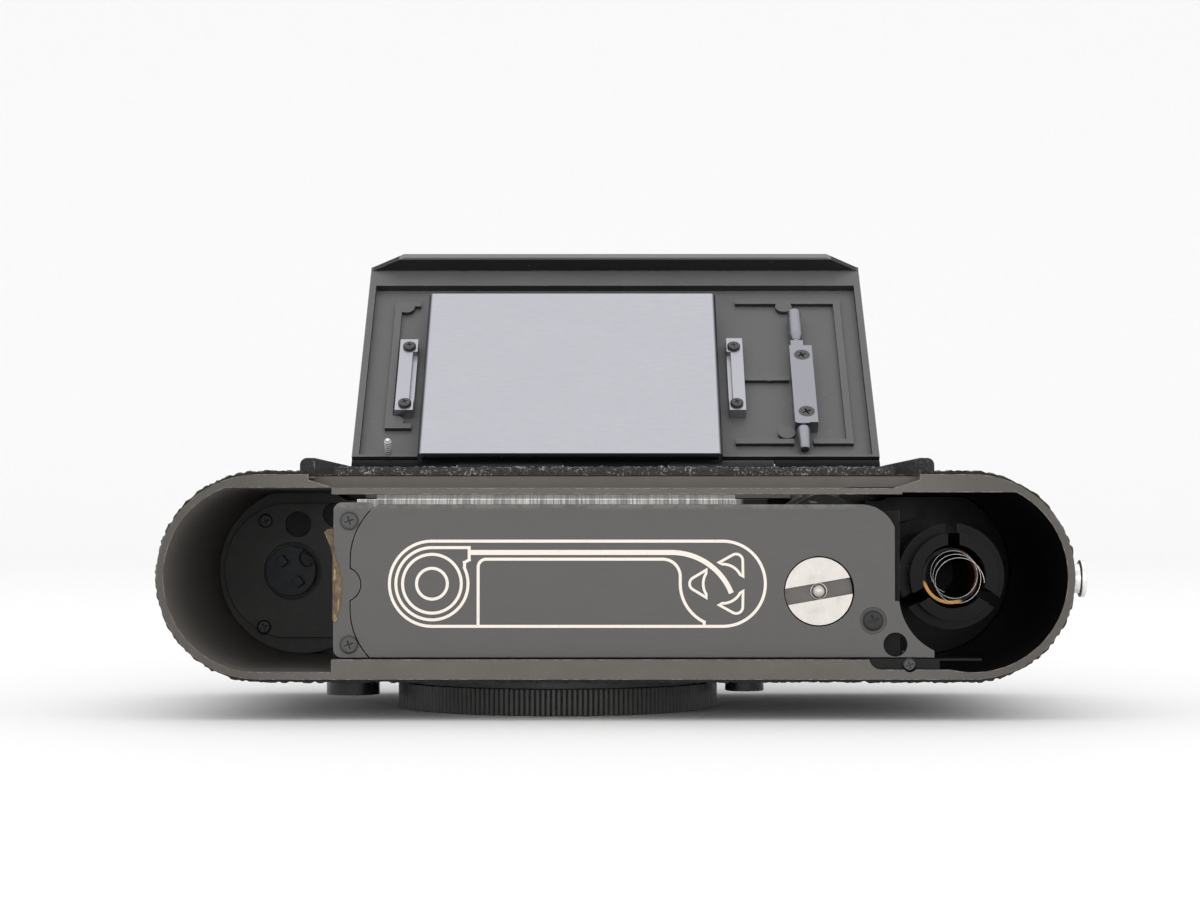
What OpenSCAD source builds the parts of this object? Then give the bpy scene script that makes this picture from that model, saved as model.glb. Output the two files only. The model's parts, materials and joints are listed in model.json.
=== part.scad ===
// 35 mm rangefinder camera lying on its body cap, base plate off, back door open.
// Frame: X along the body, Y towards the top plate, Z towards the back; the origin is where
// the lens axis meets the front face of the body cap.

/* [Body] */
// Length of the body from end to end
body_len = 138; // [136:0.5:140]
// Thickness of the metal body without its covering
body_depth = 30.8; // [30.4:0.1:31.2]
// Height of the front face above the resting face of the cap
front_z = 6.2; // [6.1:0.1:6.4]
// Distance from the open bottom rim to the lens axis
rim_drop = 35.5; // [35:0.5:36]
// How far the body's middle lies towards the winding side of the lens axis
body_offset = 9.25; // [9:0.25:9.5]
// Wall thickness at the round ends
end_wall = 1.1; // [0.9:0.1:1.3]
// Thickness of the textured covering
skin_t = 0.7; // [0.5:0.1:0.9]

/* [Back door] */
// Opening angle of the door measured from closed
door_open = 136.5; // [130:0.5:138]
// Width of the door
door_w = 90.4; // [90:0.2:90.6]
// Length of the door from the hinge axis to the free edge
door_len = 53.97; // [53:0.01:54]
// Radius of the hinge knuckles
knuckle_r = 1.05; // [0.9:0.05:1.1]
// Number of hinge knuckles, both leaves together
knuckles = 5; // [5:2:7]

/* [Winding side] */
// Radius of the slotted coupling disc in the bottom
coupling_r = 5.1; // [4.8:0.1:5.2]
// Radius of the take-up spool
spool_r = 6.8; // [6.4:0.1:7]
// Teeth on each ring of the film sprocket
sprocket_teeth = 8; // [8:1:8]

/* [Front] */
// Radius of the body cap
cap_r = 25.9; // [25.7:0.1:26.2]
// Thickness of the cap's grip
cap_grip = 4.2; // [3.8:0.1:4.4]

/* [Hidden] */
$fn = 64;

// Body outline: a stadium in X and Z
end_r = body_depth / 2;
mid_z = front_z + end_r;
rear_z = front_z + body_depth;
left_cx = body_offset - body_len / 2 + end_r;
right_cx = body_offset + body_len / 2 - end_r;
rim_y = -rim_drop;
shell_top_y = 24;

// The middle of the body, between the two film chambers
mid_l = -33.4;
mid_r = 52.3;
front_wall = 3;
front_in_z = front_z + front_wall;
rear_in_z = 34;
notch_x = 47.2;
left_top_z = 35;
right_top_z = 34.3;

// Back opening, its light-trap rib, the seat for the door's lip and the side ridges
win_l = -33.6;
win_r = 52.6;
win_top_y = 22;
rib_y = rim_y + 2.9;
rib_t = 1.2;
rib_z = 38.1;
seat_z = 34.9;
seat_l = -36.9;
seat_r = 55;
seat_side_z = 36.15;
seat_run = 4.1;
ridge_z = 39.5;
ridge_in_l = -36.1;
ridge_in_r = 55.1;
ridge_w = 2.2;
bar_y = 22.2;
bar_z = 37.6;

// Hinge axis and door, in the door's own frame: X as the body, Y from the axis to the free
// edge, Z out of the inner face
hinge_y = 19.9;
hinge_z = 39.4;
door_tilt = 180 - door_open;
door_l = -35.7;
door_r = door_l + door_w;
door_face = 1;
door_floor = -0.3;
door_back = -1;
door_start = 1.4;
door_band = 5.5;
door_side = 1.2;
lip_h = 3.1;
lip_t = 1.1;
pin_r = 0.5;
run_gap = 0.05;
dial_door_x = 9.5;
dial_door_y = 29;
pin_x = -29.5;
pin_y = 2.95;
guide_x = 42;
guide_z = 1.3;

// Winding parts, each by its axis in X and Z
coupling_x = 39.9;
coupling_z = 19.4;
spool_x = 61.8;
spool_z = 21.4;
sprocket_x = 42;
sprocket_z = 28.2;
sprocket_r = 6.05;
drum_x = 27;
drum_z = 21;
roller_x = -26;
roller_z = 23;
rewind_x = -45.9;
rewind_z = 21.5;
end_screws = [[-50.6, 30.1], [-50.8, 11.9]];

// Bottom cover
cover_y = rim_y + 1;
cover_t = 1;
cover_lo = 9.45;
cover_hi = 32.5;
seam_x = -30.6;
seam_r = 10.5;
seam_hi = 24.2;
seam_lo = 16.7;
bump_r = 2.7;
hole_x = 51.35;
hole_z = 11.4;
strip_screw_x = -30.8;
strip_screw_z = [11.4, 30];
big_screw = [48, 15];
tail_screw = [53.4, 8.4];
ledge_y = rim_y + 1.2;
screw_r = 0.75;
screw_l = 3;

// Film path
gate_z = 33.4;
rail_z = 34.7;
crate_back_z = 31.5;
gate_w = 36;
gate_h = 24;

// Top plate and its controls
plate_low = 33.5;
plate_high = 35;
step_x = 22;
plate_wall = 1;
lever_x = 58;
lever_z = 21.5;
button_x = 45;
button_z = 21.5;
dial_x = 31;
dial_z = 21.5;
crank_angle = 25;
crank_pivot = -4;
counter_x = 70;
counter_z = 20;
shaft_r = 2;
shoe_screw_x = [-4, 4];
shoe_screw_z = [16, 26];

// Front controls
selector_x = -33.2;
selector_y = -2;
release_x = 57;
release_y = 8;
lens_button_x = 30.1;
lens_button_y = -6;
mount_angles = [45, 135, 225, 315];
mount_pitch_r = 23.9;

// ---- Helpers ----

// Draws an X, Z outline and extrudes it along Y
module along_y(y0, y1) {
    translate([0, y1, 0]) rotate([90, 0, 0]) linear_extrude(y1 - y0) children();
}

// Round bar along Y
module y_rod(x, z, y0, y1, r) {
    translate([x, y0, z]) rotate([-90, 0, 0]) cylinder(r = r, h = y1 - y0);
}

// Round bar along X
module x_rod(y, z, x0, x1, r) {
    translate([x0, y, z]) rotate([0, 90, 0]) cylinder(r = r, h = x1 - x0);
}

// Round bar along Z
module z_rod(x, y, z0, z1, r) {
    translate([x, y, z0]) cylinder(r = r, h = z1 - z0);
}

// Box from one corner to the other
module block(a, b) {
    translate(a) cube(b - a);
}

// Rectangle with round corners, from one corner to the other
module round_rect(a, b, r) {
    translate([a.x + r, a.y]) square([b.x - a.x - 2 * r, b.y - a.y]);
    translate([a.x, a.y + r]) square([b.x - a.x, b.y - a.y - 2 * r]);
    for (x = [a.x + r, b.x - r], y = [a.y + r, b.y - r]) translate([x, y]) circle(r);
}

// Flat ring of a given line width about a circle
module ring_line(r, width) {
    difference() {
        circle(r + width / 2);
        circle(r - width / 2);
    }
}

// Part of such a ring between two angles
module arc_line(r, from, to, width) {
    reach = 2 * r;
    intersection() {
        ring_line(r, width);
        polygon([
            [0, 0],
            for (i = [0 : 4]) let (a = from + i * (to - from) / 4) reach * [cos(a), sin(a)]
        ]);
    }
}

// Flat straight line between two points, with square ends
module stroke(a, b, width) {
    run = b - a;
    translate(a) rotate(atan2(run.y, run.x)) translate([-width / 2, -width / 2])
        square([norm(run) + width, width]);
}

// Body outline in X and Z, grown by a margin
module stadium(grow) {
    for (cx = [left_cx, right_cx]) translate([cx, mid_z]) circle(end_r + grow);
    translate([left_cx, mid_z - end_r - grow])
        square([right_cx - left_cx, 2 * (end_r + grow)]);
}

// Cross-head screw along +Z: a domed head on a shank, with its head's underside at z = 0
module cross_screw(head_r, head_h, shank_r, shank_l) {
    difference() {
        union() {
            cylinder(r = head_r, h = head_h * 0.6);
            translate([0, 0, head_h * 0.6]) cylinder(r1 = head_r, r2 = head_r * 0.7, h = head_h * 0.4);
            translate([0, 0, -shank_l]) cylinder(r = shank_r, h = shank_l);
        }
        for (a = [0, 90])
            rotate([0, 0, a + 20])
                translate([-head_r * 0.55, -head_r * 0.11, head_h * 0.45])
                    cube([head_r * 1.1, head_r * 0.22, head_h]);
    }
}

// Places a +Z part so that it faces the open bottom
module to_bottom(x, y, z) {
    translate([x, y, z]) rotate([90, 0, 0]) children();
}

// Places a part drawn in the door's frame
module on_door() {
    translate([0, hinge_y, hinge_z]) rotate([door_tilt, 0, 0]) children();
}

// ---- Body ----

// The two film chambers and the space between them, in X and Z
module chambers() {
    inner_r = end_r - end_wall;
    inner_lo = mid_z - inner_r;
    intersection() {
        union() {
            translate([left_cx, mid_z]) circle(inner_r);
            translate([left_cx, inner_lo]) square([mid_l - left_cx, 2 * inner_r]);
        }
        translate([left_cx - end_r, inner_lo - 1]) square([end_r * 2, left_top_z - inner_lo + 1]);
    }
    intersection() {
        union() {
            translate([right_cx, mid_z]) circle(inner_r);
            translate([mid_r, inner_lo + 0.4]) square([right_cx - mid_r, 2 * inner_r]);
            translate([notch_x + 2, inner_lo + 0.4]) square([mid_r - notch_x, inner_r]);
            translate([notch_x + 2, inner_lo + 2.4]) circle(2);
        }
        translate([notch_x - 1, inner_lo - 1]) square([end_r * 2 + 5, right_top_z - inner_lo + 1]);
    }
    translate([mid_l - 1, front_in_z]) square([mid_r - mid_l + 2, rear_in_z - front_in_z]);
}

module lip_seat() {
    polygon([
        [seat_l, rear_z + 1], [seat_l, seat_side_z], [seat_l + seat_run, seat_z],
        [seat_r - seat_run, seat_z], [seat_r, seat_side_z], [seat_r, rear_z + 1]
    ]);
}

// One side ridge in X and Z with a round outer top corner
module ridge(x, side) {
    corner = 1.1;
    difference() {
        translate([min(x, x + side * ridge_w), rear_z - 0.6])
            square([ridge_w, ridge_z - rear_z + 0.6]);
        translate([side > 0 ? x + ridge_w - corner : x - ridge_w - 1, ridge_z - corner])
            square([corner + 1, corner + 1]);
    }
    translate([x + side * (ridge_w - corner), ridge_z - corner]) circle(corner);
}

function knuckle_x(i) = door_l + i * door_w / knuckles;

module body_shell() {
    color([0.45, 0.43, 0.41]) {
        difference() {
            union() {
                along_y(rim_y, shell_top_y) stadium(0);
                block([mid_l, rib_y, rear_in_z], [mid_r - 0.7, rib_y + rib_t, rib_z]);
            }
            difference() {
                along_y(rim_y - 1, shell_top_y + 1) chambers();
                block([notch_x - 1, ledge_y, 0], [tail_screw.x + 4.6, ledge_y + 4, front_in_z + 0.1]);
                block([tail_screw.x, ledge_y + 0.6, front_in_z - 0.25],
                      [tail_screw.x + 11, ledge_y + 4, front_in_z + 0.1]);
            }
            y_rod(tail_screw.x, tail_screw.y, rim_y - 1, ledge_y + 4.1, screw_r);
            y_rod(tail_screw.x, tail_screw.y, rim_y - 1, ledge_y, 1.1);
            for (a = mount_angles) rotate([0, 0, a]) z_rod(mount_pitch_r, 0, 0, front_in_z + 1, 0.6);
            block([win_l, rib_y + rib_t, rear_in_z - 1], [win_r, win_top_y, rear_z + 3]);
            along_y(rim_y - 1, rib_y) lip_seat();
            z_rod(0, 0, front_z - 1, front_in_z + 1, 22.7);
            z_rod(0, 0, front_z - 1, front_z + 1.2, 25.55);
            z_rod(selector_x, selector_y, front_z - 1, front_in_z + 1, shaft_r + run_gap);
            z_rod(release_x, release_y, front_z - 1, front_in_z + 1, 1.5 + run_gap);
            z_rod(lens_button_x, lens_button_y, front_z - 1, front_in_z - 0.6, 3.15);
            z_rod(lens_button_x, lens_button_y, front_z - 1, front_in_z + 1, 1 + run_gap);
        }
        along_y(rim_y + 1.2, shell_top_y) ridge(ridge_in_l, -1);
        along_y(rim_y + 1.2, shell_top_y) ridge(ridge_in_r, 1);
        block([ridge_in_l - 1, bar_y, rear_z - 0.6], [ridge_in_r + 1, shell_top_y, bar_z]);
    }
}

// Fixed half of the door's hinge: a bar along the body with its knuckles
module hinge_leaf() {
    color([0.1, 0.1, 0.1]) {
        block([ridge_in_l + 0.05, bar_y, bar_z], [ridge_in_r - 0.05, shell_top_y, ridge_z - 0.1]);
        for (i = [0 : 2 : knuckles - 1])
            difference() {
                union() {
                    x_rod(hinge_y, hinge_z, knuckle_x(i) + 0.1, knuckle_x(i + 1) - 0.1, knuckle_r);
                    block([knuckle_x(i) + 0.1, hinge_y + 0.6, hinge_z - knuckle_r],
                          [knuckle_x(i + 1) - 0.1, bar_y + 0.1, hinge_z - 0.25]);
                }
                x_rod(hinge_y, hinge_z, knuckle_x(i), knuckle_x(i + 1), pin_r);
            }
    }
}

module body_covering() {
    color([0.05, 0.05, 0.05])
        difference() {
            along_y(rim_y + 2.6, shell_top_y - 0.3) difference() {
                stadium(skin_t);
                stadium(0);
                translate([ridge_in_l - ridge_w, mid_z])
                    square([ridge_in_r - ridge_in_l + 2 * ridge_w, body_depth]);
            }
            z_rod(0, 0, 0, front_in_z, 26.4);
            z_rod(selector_x, selector_y, 0, front_in_z, 5);
            z_rod(release_x, release_y, 0, front_in_z, 3.6);
            z_rod(lens_button_x, lens_button_y, 0, front_in_z, 3.9);
            for (side = [-1, 1])
                x_rod(18, mid_z, side < 0 ? left_cx - end_r - 3 : right_cx + end_r - 3,
                      side < 0 ? left_cx - end_r + 3 : right_cx + end_r + 3, 3.1);
            x_rod(rim_y + 3.3, mid_z - 0.3, right_cx + end_r - 3, right_cx + end_r + 3, 3.1);
        }
}

// Cast inner frame: light tunnel in the middle, drum bays at both sides
module shutter_crate() {
    lo = [mid_l + 0.1, cover_y + cover_t + 0.1, front_in_z];
    hi = [mid_r - 0.2, shell_top_y - 0.2, crate_back_z];
    wall = 1.6;
    tunnel_x = 20;
    tunnel_y = 14;
    color([0.07, 0.07, 0.075])
        difference() {
            block(lo, hi);
            // Light tunnel with a round throat in front
            block([-tunnel_x, -tunnel_y, lo.z + wall], [tunnel_x, tunnel_y, hi.z + 1]);
            z_rod(0, 0, lo.z - 1, lo.z + wall + 1, 22.7);
            // Bay of the curtain springs
            block([lo.x + wall, -tunnel_y - 6, lo.z + wall], [-tunnel_x - wall, tunnel_y + 6, hi.z + 1]);
            // Bay of the winding drum
            block([tunnel_x + wall, -tunnel_y - 6, lo.z + wall], [35.5, tunnel_y + 6, hi.z + 1]);
            // Slots that let the curtain run from bay to bay
            block(
                [-tunnel_x - wall - 1, -tunnel_y - 3, hi.z - 2],
                [tunnel_x + wall + 1, tunnel_y + 3, hi.z + 1]
            );
            // Sprocket bay, open to the film path
            y_rod(sprocket_x, sprocket_z, -18, 18, 7.7);
            block([sprocket_x - 7.7, -18, sprocket_z], [sprocket_x + 7.7, 18, hi.z + 1]);
            y_rod(sprocket_x, sprocket_z, lo.y + 2, hi.y + 1, shaft_r + run_gap);
            y_rod(drum_x, drum_z, lo.y + 2, hi.y - 1.5, shaft_r + run_gap);
            y_rod(roller_x, roller_z, lo.y + 2, hi.y - 1.5, shaft_r + run_gap);
            // Coupling disc and its shaft
            y_rod(coupling_x, coupling_z, lo.y - 1, lo.y + 2.2, coupling_r + 0.4);
            y_rod(coupling_x, coupling_z, lo.y - 1, lo.y + 12, shaft_r + run_gap);
            z_rod(lens_button_x, lens_button_y, lo.z - 1, lo.z + 3.5, 3.4);
            for (z = strip_screw_z)
                y_rod(strip_screw_x, z, lo.y - 1, cover_y + screw_l + 0.2, screw_r);
            y_rod(big_screw.x, big_screw.y, lo.y - 1, cover_y + screw_l + 0.6, screw_r);
        }
}

// Film gate with polished guide rails
module film_gate() {
    color([0.72, 0.7, 0.68]) {
        difference() {
            block([-31, -20.5, crate_back_z + 0.05], [33, 20.5, gate_z]);
            block([-gate_w / 2, -gate_h / 2, crate_back_z - 1], [gate_w / 2, gate_h / 2, gate_z + 1]);
        }
        for (side = [-1, 1]) {
            block([-28, side * 18.45 - 0.75, gate_z - 0.1], [28, side * 18.45 + 0.75, rail_z]);
            block([-28, side * 13.75 - 0.75, gate_z - 0.1], [28, side * 13.75 + 0.75, rail_z - 0.2]);
        }
    }
}

module shutter_curtain() {
    z = crate_back_z - 1.2;
    t = 0.35;
    color([0.09, 0.09, 0.095])
        along_y(-16.5, 16.5) polygon([
            [-29, z - 5], [-24.5, z], [24.5, z], [31.3, z - 5.5],
            [31.3 + t, z - 5.5], [24.5 + t, z + t], [-24.5 - t, z + t], [-29 - t, z - 5]
        ]);
}

// ---- Bottom cover ----

// Outline of the cover in X and Z; grow widens it for the gap in the end strip
module cover_outline(grow) {
    tail = [57.2, 9.9];
    corner = 5.5;
    difference() {
        union() {
            intersection() {
                translate([seam_x - 1, cover_lo]) square([mid_r - seam_x, cover_hi - cover_lo]);
                union() {
                    for (z = [seam_lo, seam_hi])
                        translate([seam_x + seam_r, z]) circle(seam_r + grow);
                    translate([seam_x - grow, seam_lo]) square([seam_r, seam_hi - seam_lo]);
                    translate([seam_x + seam_r, cover_lo])
                        square([mid_r - seam_x, cover_hi - cover_lo]);
                }
                union() {
                    translate([mid_r - 0.6 - corner, cover_hi - corner]) circle(corner);
                    translate([seam_x - 1, cover_lo])
                        square([mid_r - 0.6 - corner - seam_x + 1, cover_hi - cover_lo]);
                    translate([seam_x, cover_lo])
                        square([mid_r - 0.6 - seam_x, cover_hi - cover_lo - corner]);
                }
            }
            // Tail under the take-up chamber, curved on its upper side
            difference() {
                translate([mid_r - 1.5, cover_lo]) square([tail.x - mid_r + 1.5, 8.5]);
                translate([mid_r - 0.6 + 9.5, cover_lo + 0.45 + 9]) circle(9.3);
                translate([mid_r - 0.6 + 5, cover_lo + 5]) square([10, 10]);
            }
        }
        translate([seam_x - 1.1, (seam_lo + seam_hi) / 2]) circle(bump_r - grow);
    }
}

module gear_cover() {
    color([0.4, 0.385, 0.39])
        difference() {
            along_y(cover_y, cover_y + cover_t) cover_outline(0);
            y_rod(coupling_x, coupling_z, cover_y - 1, cover_y + cover_t + 1, coupling_r + 0.2);
            y_rod(big_screw.x, big_screw.y, cover_y - 1, cover_y + cover_t + 1, screw_r);
            y_rod(big_screw.x, big_screw.y, cover_y - 1, cover_y + 0.35, 2);
            y_rod(hole_x, hole_z, cover_y - 1, cover_y + cover_t + 1, 1.8);
        }
}

module cover_end_strip() {
    color([0.37, 0.36, 0.36])
        along_y(cover_y, cover_y + cover_t) difference() {
            round_rect([mid_l + 0.2, cover_lo], [-26.9, cover_hi + 0.3], 1.3);
            cover_outline(0.15);
            translate([seam_x + seam_r, cover_lo - 1]) square([20, 30]);
            for (z = strip_screw_z) translate([strip_screw_x, z]) circle(screw_r);
        }
}

module cover_screws() {
    color([0.1, 0.1, 0.1]) {
        for (z = strip_screw_z)
            to_bottom(strip_screw_x, cover_y, z) cross_screw(1.35, 0.5, screw_r, screw_l);
        to_bottom(big_screw.x, cover_y + 0.35, big_screw.y) cross_screw(1.55, 0.6, screw_r, screw_l);
        to_bottom(tail_screw.x, ledge_y, tail_screw.y) cross_screw(1.05, 0.6, screw_r, screw_l);
    }
}

// Filled engraving that shows how the film is loaded
// Raised lines that show how the film runs: the two chambers' border, the cartridge with its
// mouth, the film, the frame below it and the three prongs of the spool
module loading_diagram() {
    line = 0.45;
    thin = 0.4;
    film = 0.75;
    left = [-18.35, 20.55];
    right = [25.4, 20.55];
    border_r = 6.4;
    mouth = [5.6, 5.43];
    notch = [4.9, 3.2];
    film_bend = [17.7, 25.25];
    film_r = 9.66;
    frame_l = -11.4;
    frame_z = 24.24;
    corner_r = 1.2;
    bend_r = 2.6;
    stub_angle = 244;
    frame_r = right.x - border_r;
    stub = right + border_r * [cos(stub_angle), sin(stub_angle)];
    color([0.94, 0.91, 0.86])
        along_y(cover_y - 0.06, cover_y + 0.02) {
            // Border
            translate(left) arc_line(border_r, 90, 270, line);
            translate(right) arc_line(border_r, -90, 90, line);
            for (side = [-1, 1]) stroke(left + [0, side * border_r], right + [0, side * border_r], line);
            // Cartridge
            for (r = [2.32, 4.42]) translate(left) ring_line(r, line);
            translate(left) arc_line(mouth.y, 90, 388, line);
            stroke(left + [0, mouth.y], left + mouth, line);
            stroke(left + mouth, left + [mouth.x, 3.6], line);
            stroke(left + [mouth.x, 3.6], left + notch, line);
            stroke(left + notch, left + [notch.x, 2.7], line);
            // Film
            stroke([left.x + mouth.x + 0.6, film_bend.y], film_bend, film);
            translate(film_bend - [0, film_r]) arc_line(film_r, 21.5, 90, film);
            // Frame below the film
            stroke([frame_l, left.y - border_r], [frame_l, frame_z - corner_r], line);
            translate([frame_l + corner_r, frame_z - corner_r]) arc_line(corner_r, 90, 180, line);
            stroke([frame_l + corner_r, frame_z], [frame_r - bend_r, frame_z], line);
            translate([frame_r - bend_r, frame_z - bend_r]) arc_line(bend_r, 0, 90, line);
            stroke([frame_r, frame_z - bend_r], [frame_r, right.y], line);
            translate(right) arc_line(border_r, 180, stub_angle, line);
            stroke(stub, [stub.x, right.y - border_r], line);
            // Prongs
            for (a = [60, 180, 300])
                translate(right) rotate(a) difference() {
                    leaf(thin / 2);
                    leaf(-thin / 2);
                }
        }
}

// Outline of one prong: two straight sides that meet in a round tip, and a hollow inner side
module leaf(grow) {
    tip_x = 4;
    tip_r = 1 + grow;
    slope = 31;
    side_len = 2.7;
    hollow_r = 2.95;
    start = tip_r * [sin(slope), cos(slope)];
    end = start + side_len * [-cos(slope), sin(slope)];
    difference() {
        translate([tip_x, 0]) {
            circle(tip_r);
            polygon([start, end, [end.x, -end.y], [start.x, -start.y]]);
        }
        circle(hollow_r - grow);
    }
}

// ---- Film chambers ----

module cartridge_end_plate() {
    color([0.08, 0.08, 0.09])
        difference() {
            union() {
                along_y(23, 23.8) intersection() {
                    union() {
                        translate([left_cx, mid_z]) circle(end_r - end_wall - 0.05);
                        translate([left_cx, mid_z - 12]) square([mid_l - left_cx - 0.1, 24]);
                    }
                    translate([-70, 0]) square([70 + mid_l - 0.1, left_top_z - 0.05]);
                }
                // Raised plate with a straight front edge
                along_y(22, 23.1) intersection() {
                    union() {
                        translate([rewind_x, mid_z]) circle(11.7);
                        translate([rewind_x, mid_z - 11.7]) square([mid_l - 0.1 - rewind_x, 23.4]);
                    }
                    translate([-70, mid_z - 11.5]) square([70 + mid_l - 0.1, 23]);
                }
            }
            y_rod(rewind_x, rewind_z, 20, 25, shaft_r + 0.4 + run_gap);
            y_rod(rewind_x, rewind_z, 20, 22.7, 4.9);
            y_rod(-45, 29.5, 20, 22.9, 2.2);
            y_rod(-38.7, 31.2, 20, 22.9, 2.1);
            for (p = end_screws) y_rod(p.x, p.y, 21, 25, 0.65);
        }
}

module end_plate_screws() {
    color([0.2, 0.2, 0.22])
        for (p = end_screws) to_bottom(p.x, 22, p.y) cross_screw(1.2, 0.6, 0.65, 1.7);
}

module takeup_end_plate() {
    color([0.05, 0.05, 0.055])
        difference() {
            union() {
                along_y(22.6, 23.8) intersection() {
                    union() {
                        translate([right_cx, mid_z]) circle(end_r - end_wall - 0.05);
                        translate([mid_r + 0.1, mid_z - 12]) square([right_cx - mid_r - 0.1, 24]);
                    }
                    translate([mid_r + 0.1, 0]) square([2 * end_r, right_top_z - 0.05]);
                }
                y_rod(counter_x, counter_z, 23.7, 27, 2);
            }
            y_rod(spool_x, spool_z, 20, 25, shaft_r + run_gap);
            y_rod(counter_x, counter_z, 24, 28, 0.8 + run_gap);
        }
}

module takeup_spool() {
    slots = 3;
    color([0.05, 0.05, 0.055])
        difference() {
            union() {
                y_rod(spool_x, spool_z, -22, 19, spool_r);
                y_rod(spool_x, spool_z, 19, 20.5, 9);
                y_rod(spool_x, spool_z, -18.6, -17.6, 8.3);
                y_rod(spool_x, spool_z, 20.5, 24.5, shaft_r);
            }
            y_rod(spool_x, spool_z, -23, 12, 5);
            for (a = [0 : 360 / slots : 359])
                translate([spool_x, -23, spool_z]) rotate([0, a + 30, 0])
                    block([0, 0, -0.9], [12, 26, 0.9]);
        }
}

// Bright coil inside the mouth of the spool, drawn as closed rings on a thin collar
module spool_spring() {
    turns = 6;
    pitch = 1.3;
    color([0.75, 0.75, 0.72]) {
        for (i = [0 : turns - 1])
            translate([spool_x, -25.2 + i * pitch, spool_z]) rotate([-90, 0, 0])
                rotate_extrude() translate([i == 0 ? 3.45 : 4.45, 0]) circle(0.3, $fn = 16);
        for (a = [20, 200])
            translate([spool_x, 0, spool_z]) rotate([0, a, 0])
                block([3.2, -25.2, -0.2], [4.4, -17.4, 0.2]);
    }
}

module spool_tube() {
    color([0.62, 0.42, 0.16])
        difference() {
            y_rod(spool_x, spool_z, -17.5, 12.1, 4.4);
            y_rod(spool_x, spool_z, -18, 9, 3.9);
        }
}

module film_sprocket() {
    ring = 3.2;
    tooth = 0.95;
    color([0.5, 0.5, 0.52]) {
        y_rod(sprocket_x, sprocket_z, -26, 22.6, shaft_r);
        y_rod(sprocket_x, sprocket_z, -13, 13, 3.6);
        for (side = [-1, 1]) {
            y_rod(sprocket_x, sprocket_z, side * 14.1 - ring / 2, side * 14.1 + ring / 2, sprocket_r);
            for (i = [0 : sprocket_teeth - 1])
                translate([sprocket_x, side * 14.1, sprocket_z])
                    rotate([0, (i + 0.5) * 360 / sprocket_teeth, 0])
                        rotate([0, 90, 0]) translate([0, 0, sprocket_r - 0.5])
                            cylinder(r1 = 0.95, r2 = 0.5, h = tooth + 0.35);
        }
    }
}

module shutter_drum() {
    color([0.6, 0.6, 0.58]) {
        y_rod(drum_x, drum_z, -24, 20.8, shaft_r);
        y_rod(drum_x, drum_z, -16.5, 16.5, 4.4);
    }
}

module spring_roller() {
    color([0.6, 0.6, 0.58]) {
        y_rod(roller_x, roller_z, -24, 20.8, shaft_r);
        y_rod(roller_x, roller_z, -16.5, 16.5, 3.2);
    }
}

module coupling_disc() {
    color([0.88, 0.85, 0.81]) {
        difference() {
            y_rod(coupling_x, coupling_z, cover_y + 0.5, cover_y + 2.6, coupling_r);
            translate([coupling_x, cover_y, coupling_z]) rotate([0, -10, 0])
                block([-6, 0, -1.25], [6, 1.5, 1.25]);
        }
        y_rod(coupling_x, coupling_z, cover_y + 2.5, cover_y + 11, shaft_r);
        y_rod(coupling_x, coupling_z, cover_y + 1.0, cover_y + 2, 1.25);
        intersection() {
            translate([coupling_x, cover_y + 1.5, coupling_z]) sphere(1.25);
            y_rod(coupling_x, coupling_z, cover_y, cover_y + 1.5, 1.25);
        }
    }
}

// ---- Top ----

module top_plate() {
    color([0.06, 0.06, 0.065])
        difference() {
            union() {
                along_y(shell_top_y + 0.05, plate_low) stadium(0.4);
                intersection() {
                    along_y(plate_low - 1, plate_high) stadium(0.4);
                    block([-70, 0, 0], [step_x, 60, 60]);
                }
            }
            along_y(shell_top_y - 1, plate_low - plate_wall) stadium(0.4 - plate_wall);
            // Windows in front, eyepiece and sockets behind
            along_z_window([-50, 26.2], [-36, 32.4], 1);
            along_z_window([-24.5, 26.4], [-6, 31.8], 0.8);
            along_z_window([13, 27], [19.5, 31.5], 0.8);
            z_rod(-41, 29.3, rear_z - 3, rear_z + 3, 4.6);
            for (x = [-14, -24]) z_rod(x, 29, rear_z - 3, rear_z + 3, 3.2);
            // Shafts
            y_rod(rewind_x, rewind_z, 30, 40, 5.2);
            y_rod(lever_x, lever_z, 30, 40, 3 + run_gap);
            y_rod(button_x, button_z, 30, 40, 2.3 + run_gap);
            y_rod(dial_x, dial_z, 30, 40, shaft_r + run_gap);
            y_rod(counter_x, counter_z, 30, 40, 2.6);
            // Clear of the lens mount, and screw holes under the shoe
            z_rod(0, 0, front_z - 2, front_z + 1.2, 25.55);
            for (x = shoe_screw_x, z = shoe_screw_z) y_rod(x, z, 30, plate_high + 1, screw_r);
        }
}

// Round-cornered window through the front wall of the top plate
module along_z_window(a, b, r) {
    translate([0, 0, front_z - 2]) linear_extrude(3.5) round_rect(a, b, r);
}

module pane(a, b, r) {
    translate([0, 0, front_z - 0.25]) linear_extrude(0.8)
        round_rect(a + [0.05, 0.05], b - [0.05, 0.05], r);
}

module viewfinder_window() {
    color([0.35, 0.4, 0.5, 0.5]) pane([-50, 26.2], [-36, 32.4], 1);
}

module brightline_window() {
    color([0.8, 0.82, 0.85, 0.5]) pane([-24.5, 26.4], [-6, 31.8], 0.8);
}

module rangefinder_window() {
    color([0.4, 0.4, 0.5, 0.5]) pane([13, 27], [19.5, 31.5], 0.8);
}

module viewfinder_block() {
    color([0.1, 0.1, 0.1])
        difference() {
            block([-39.6, shell_top_y, 9], [20, 32.2, 34]);
            block([-24, 26, 8], [-7, 31.8, 25]);
            block([13.5, 27, 8], [19, 31.5, 25]);
        }
}

module eyepiece_ring() {
    color([0.08, 0.08, 0.08])
        translate([-41, 29.3, rear_z - 1.4]) difference() {
            cylinder(r = 4.55, h = 2.6);
            translate([0, 0, -1]) cylinder(r = 3.1, h = 5);
        }
}

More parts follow.
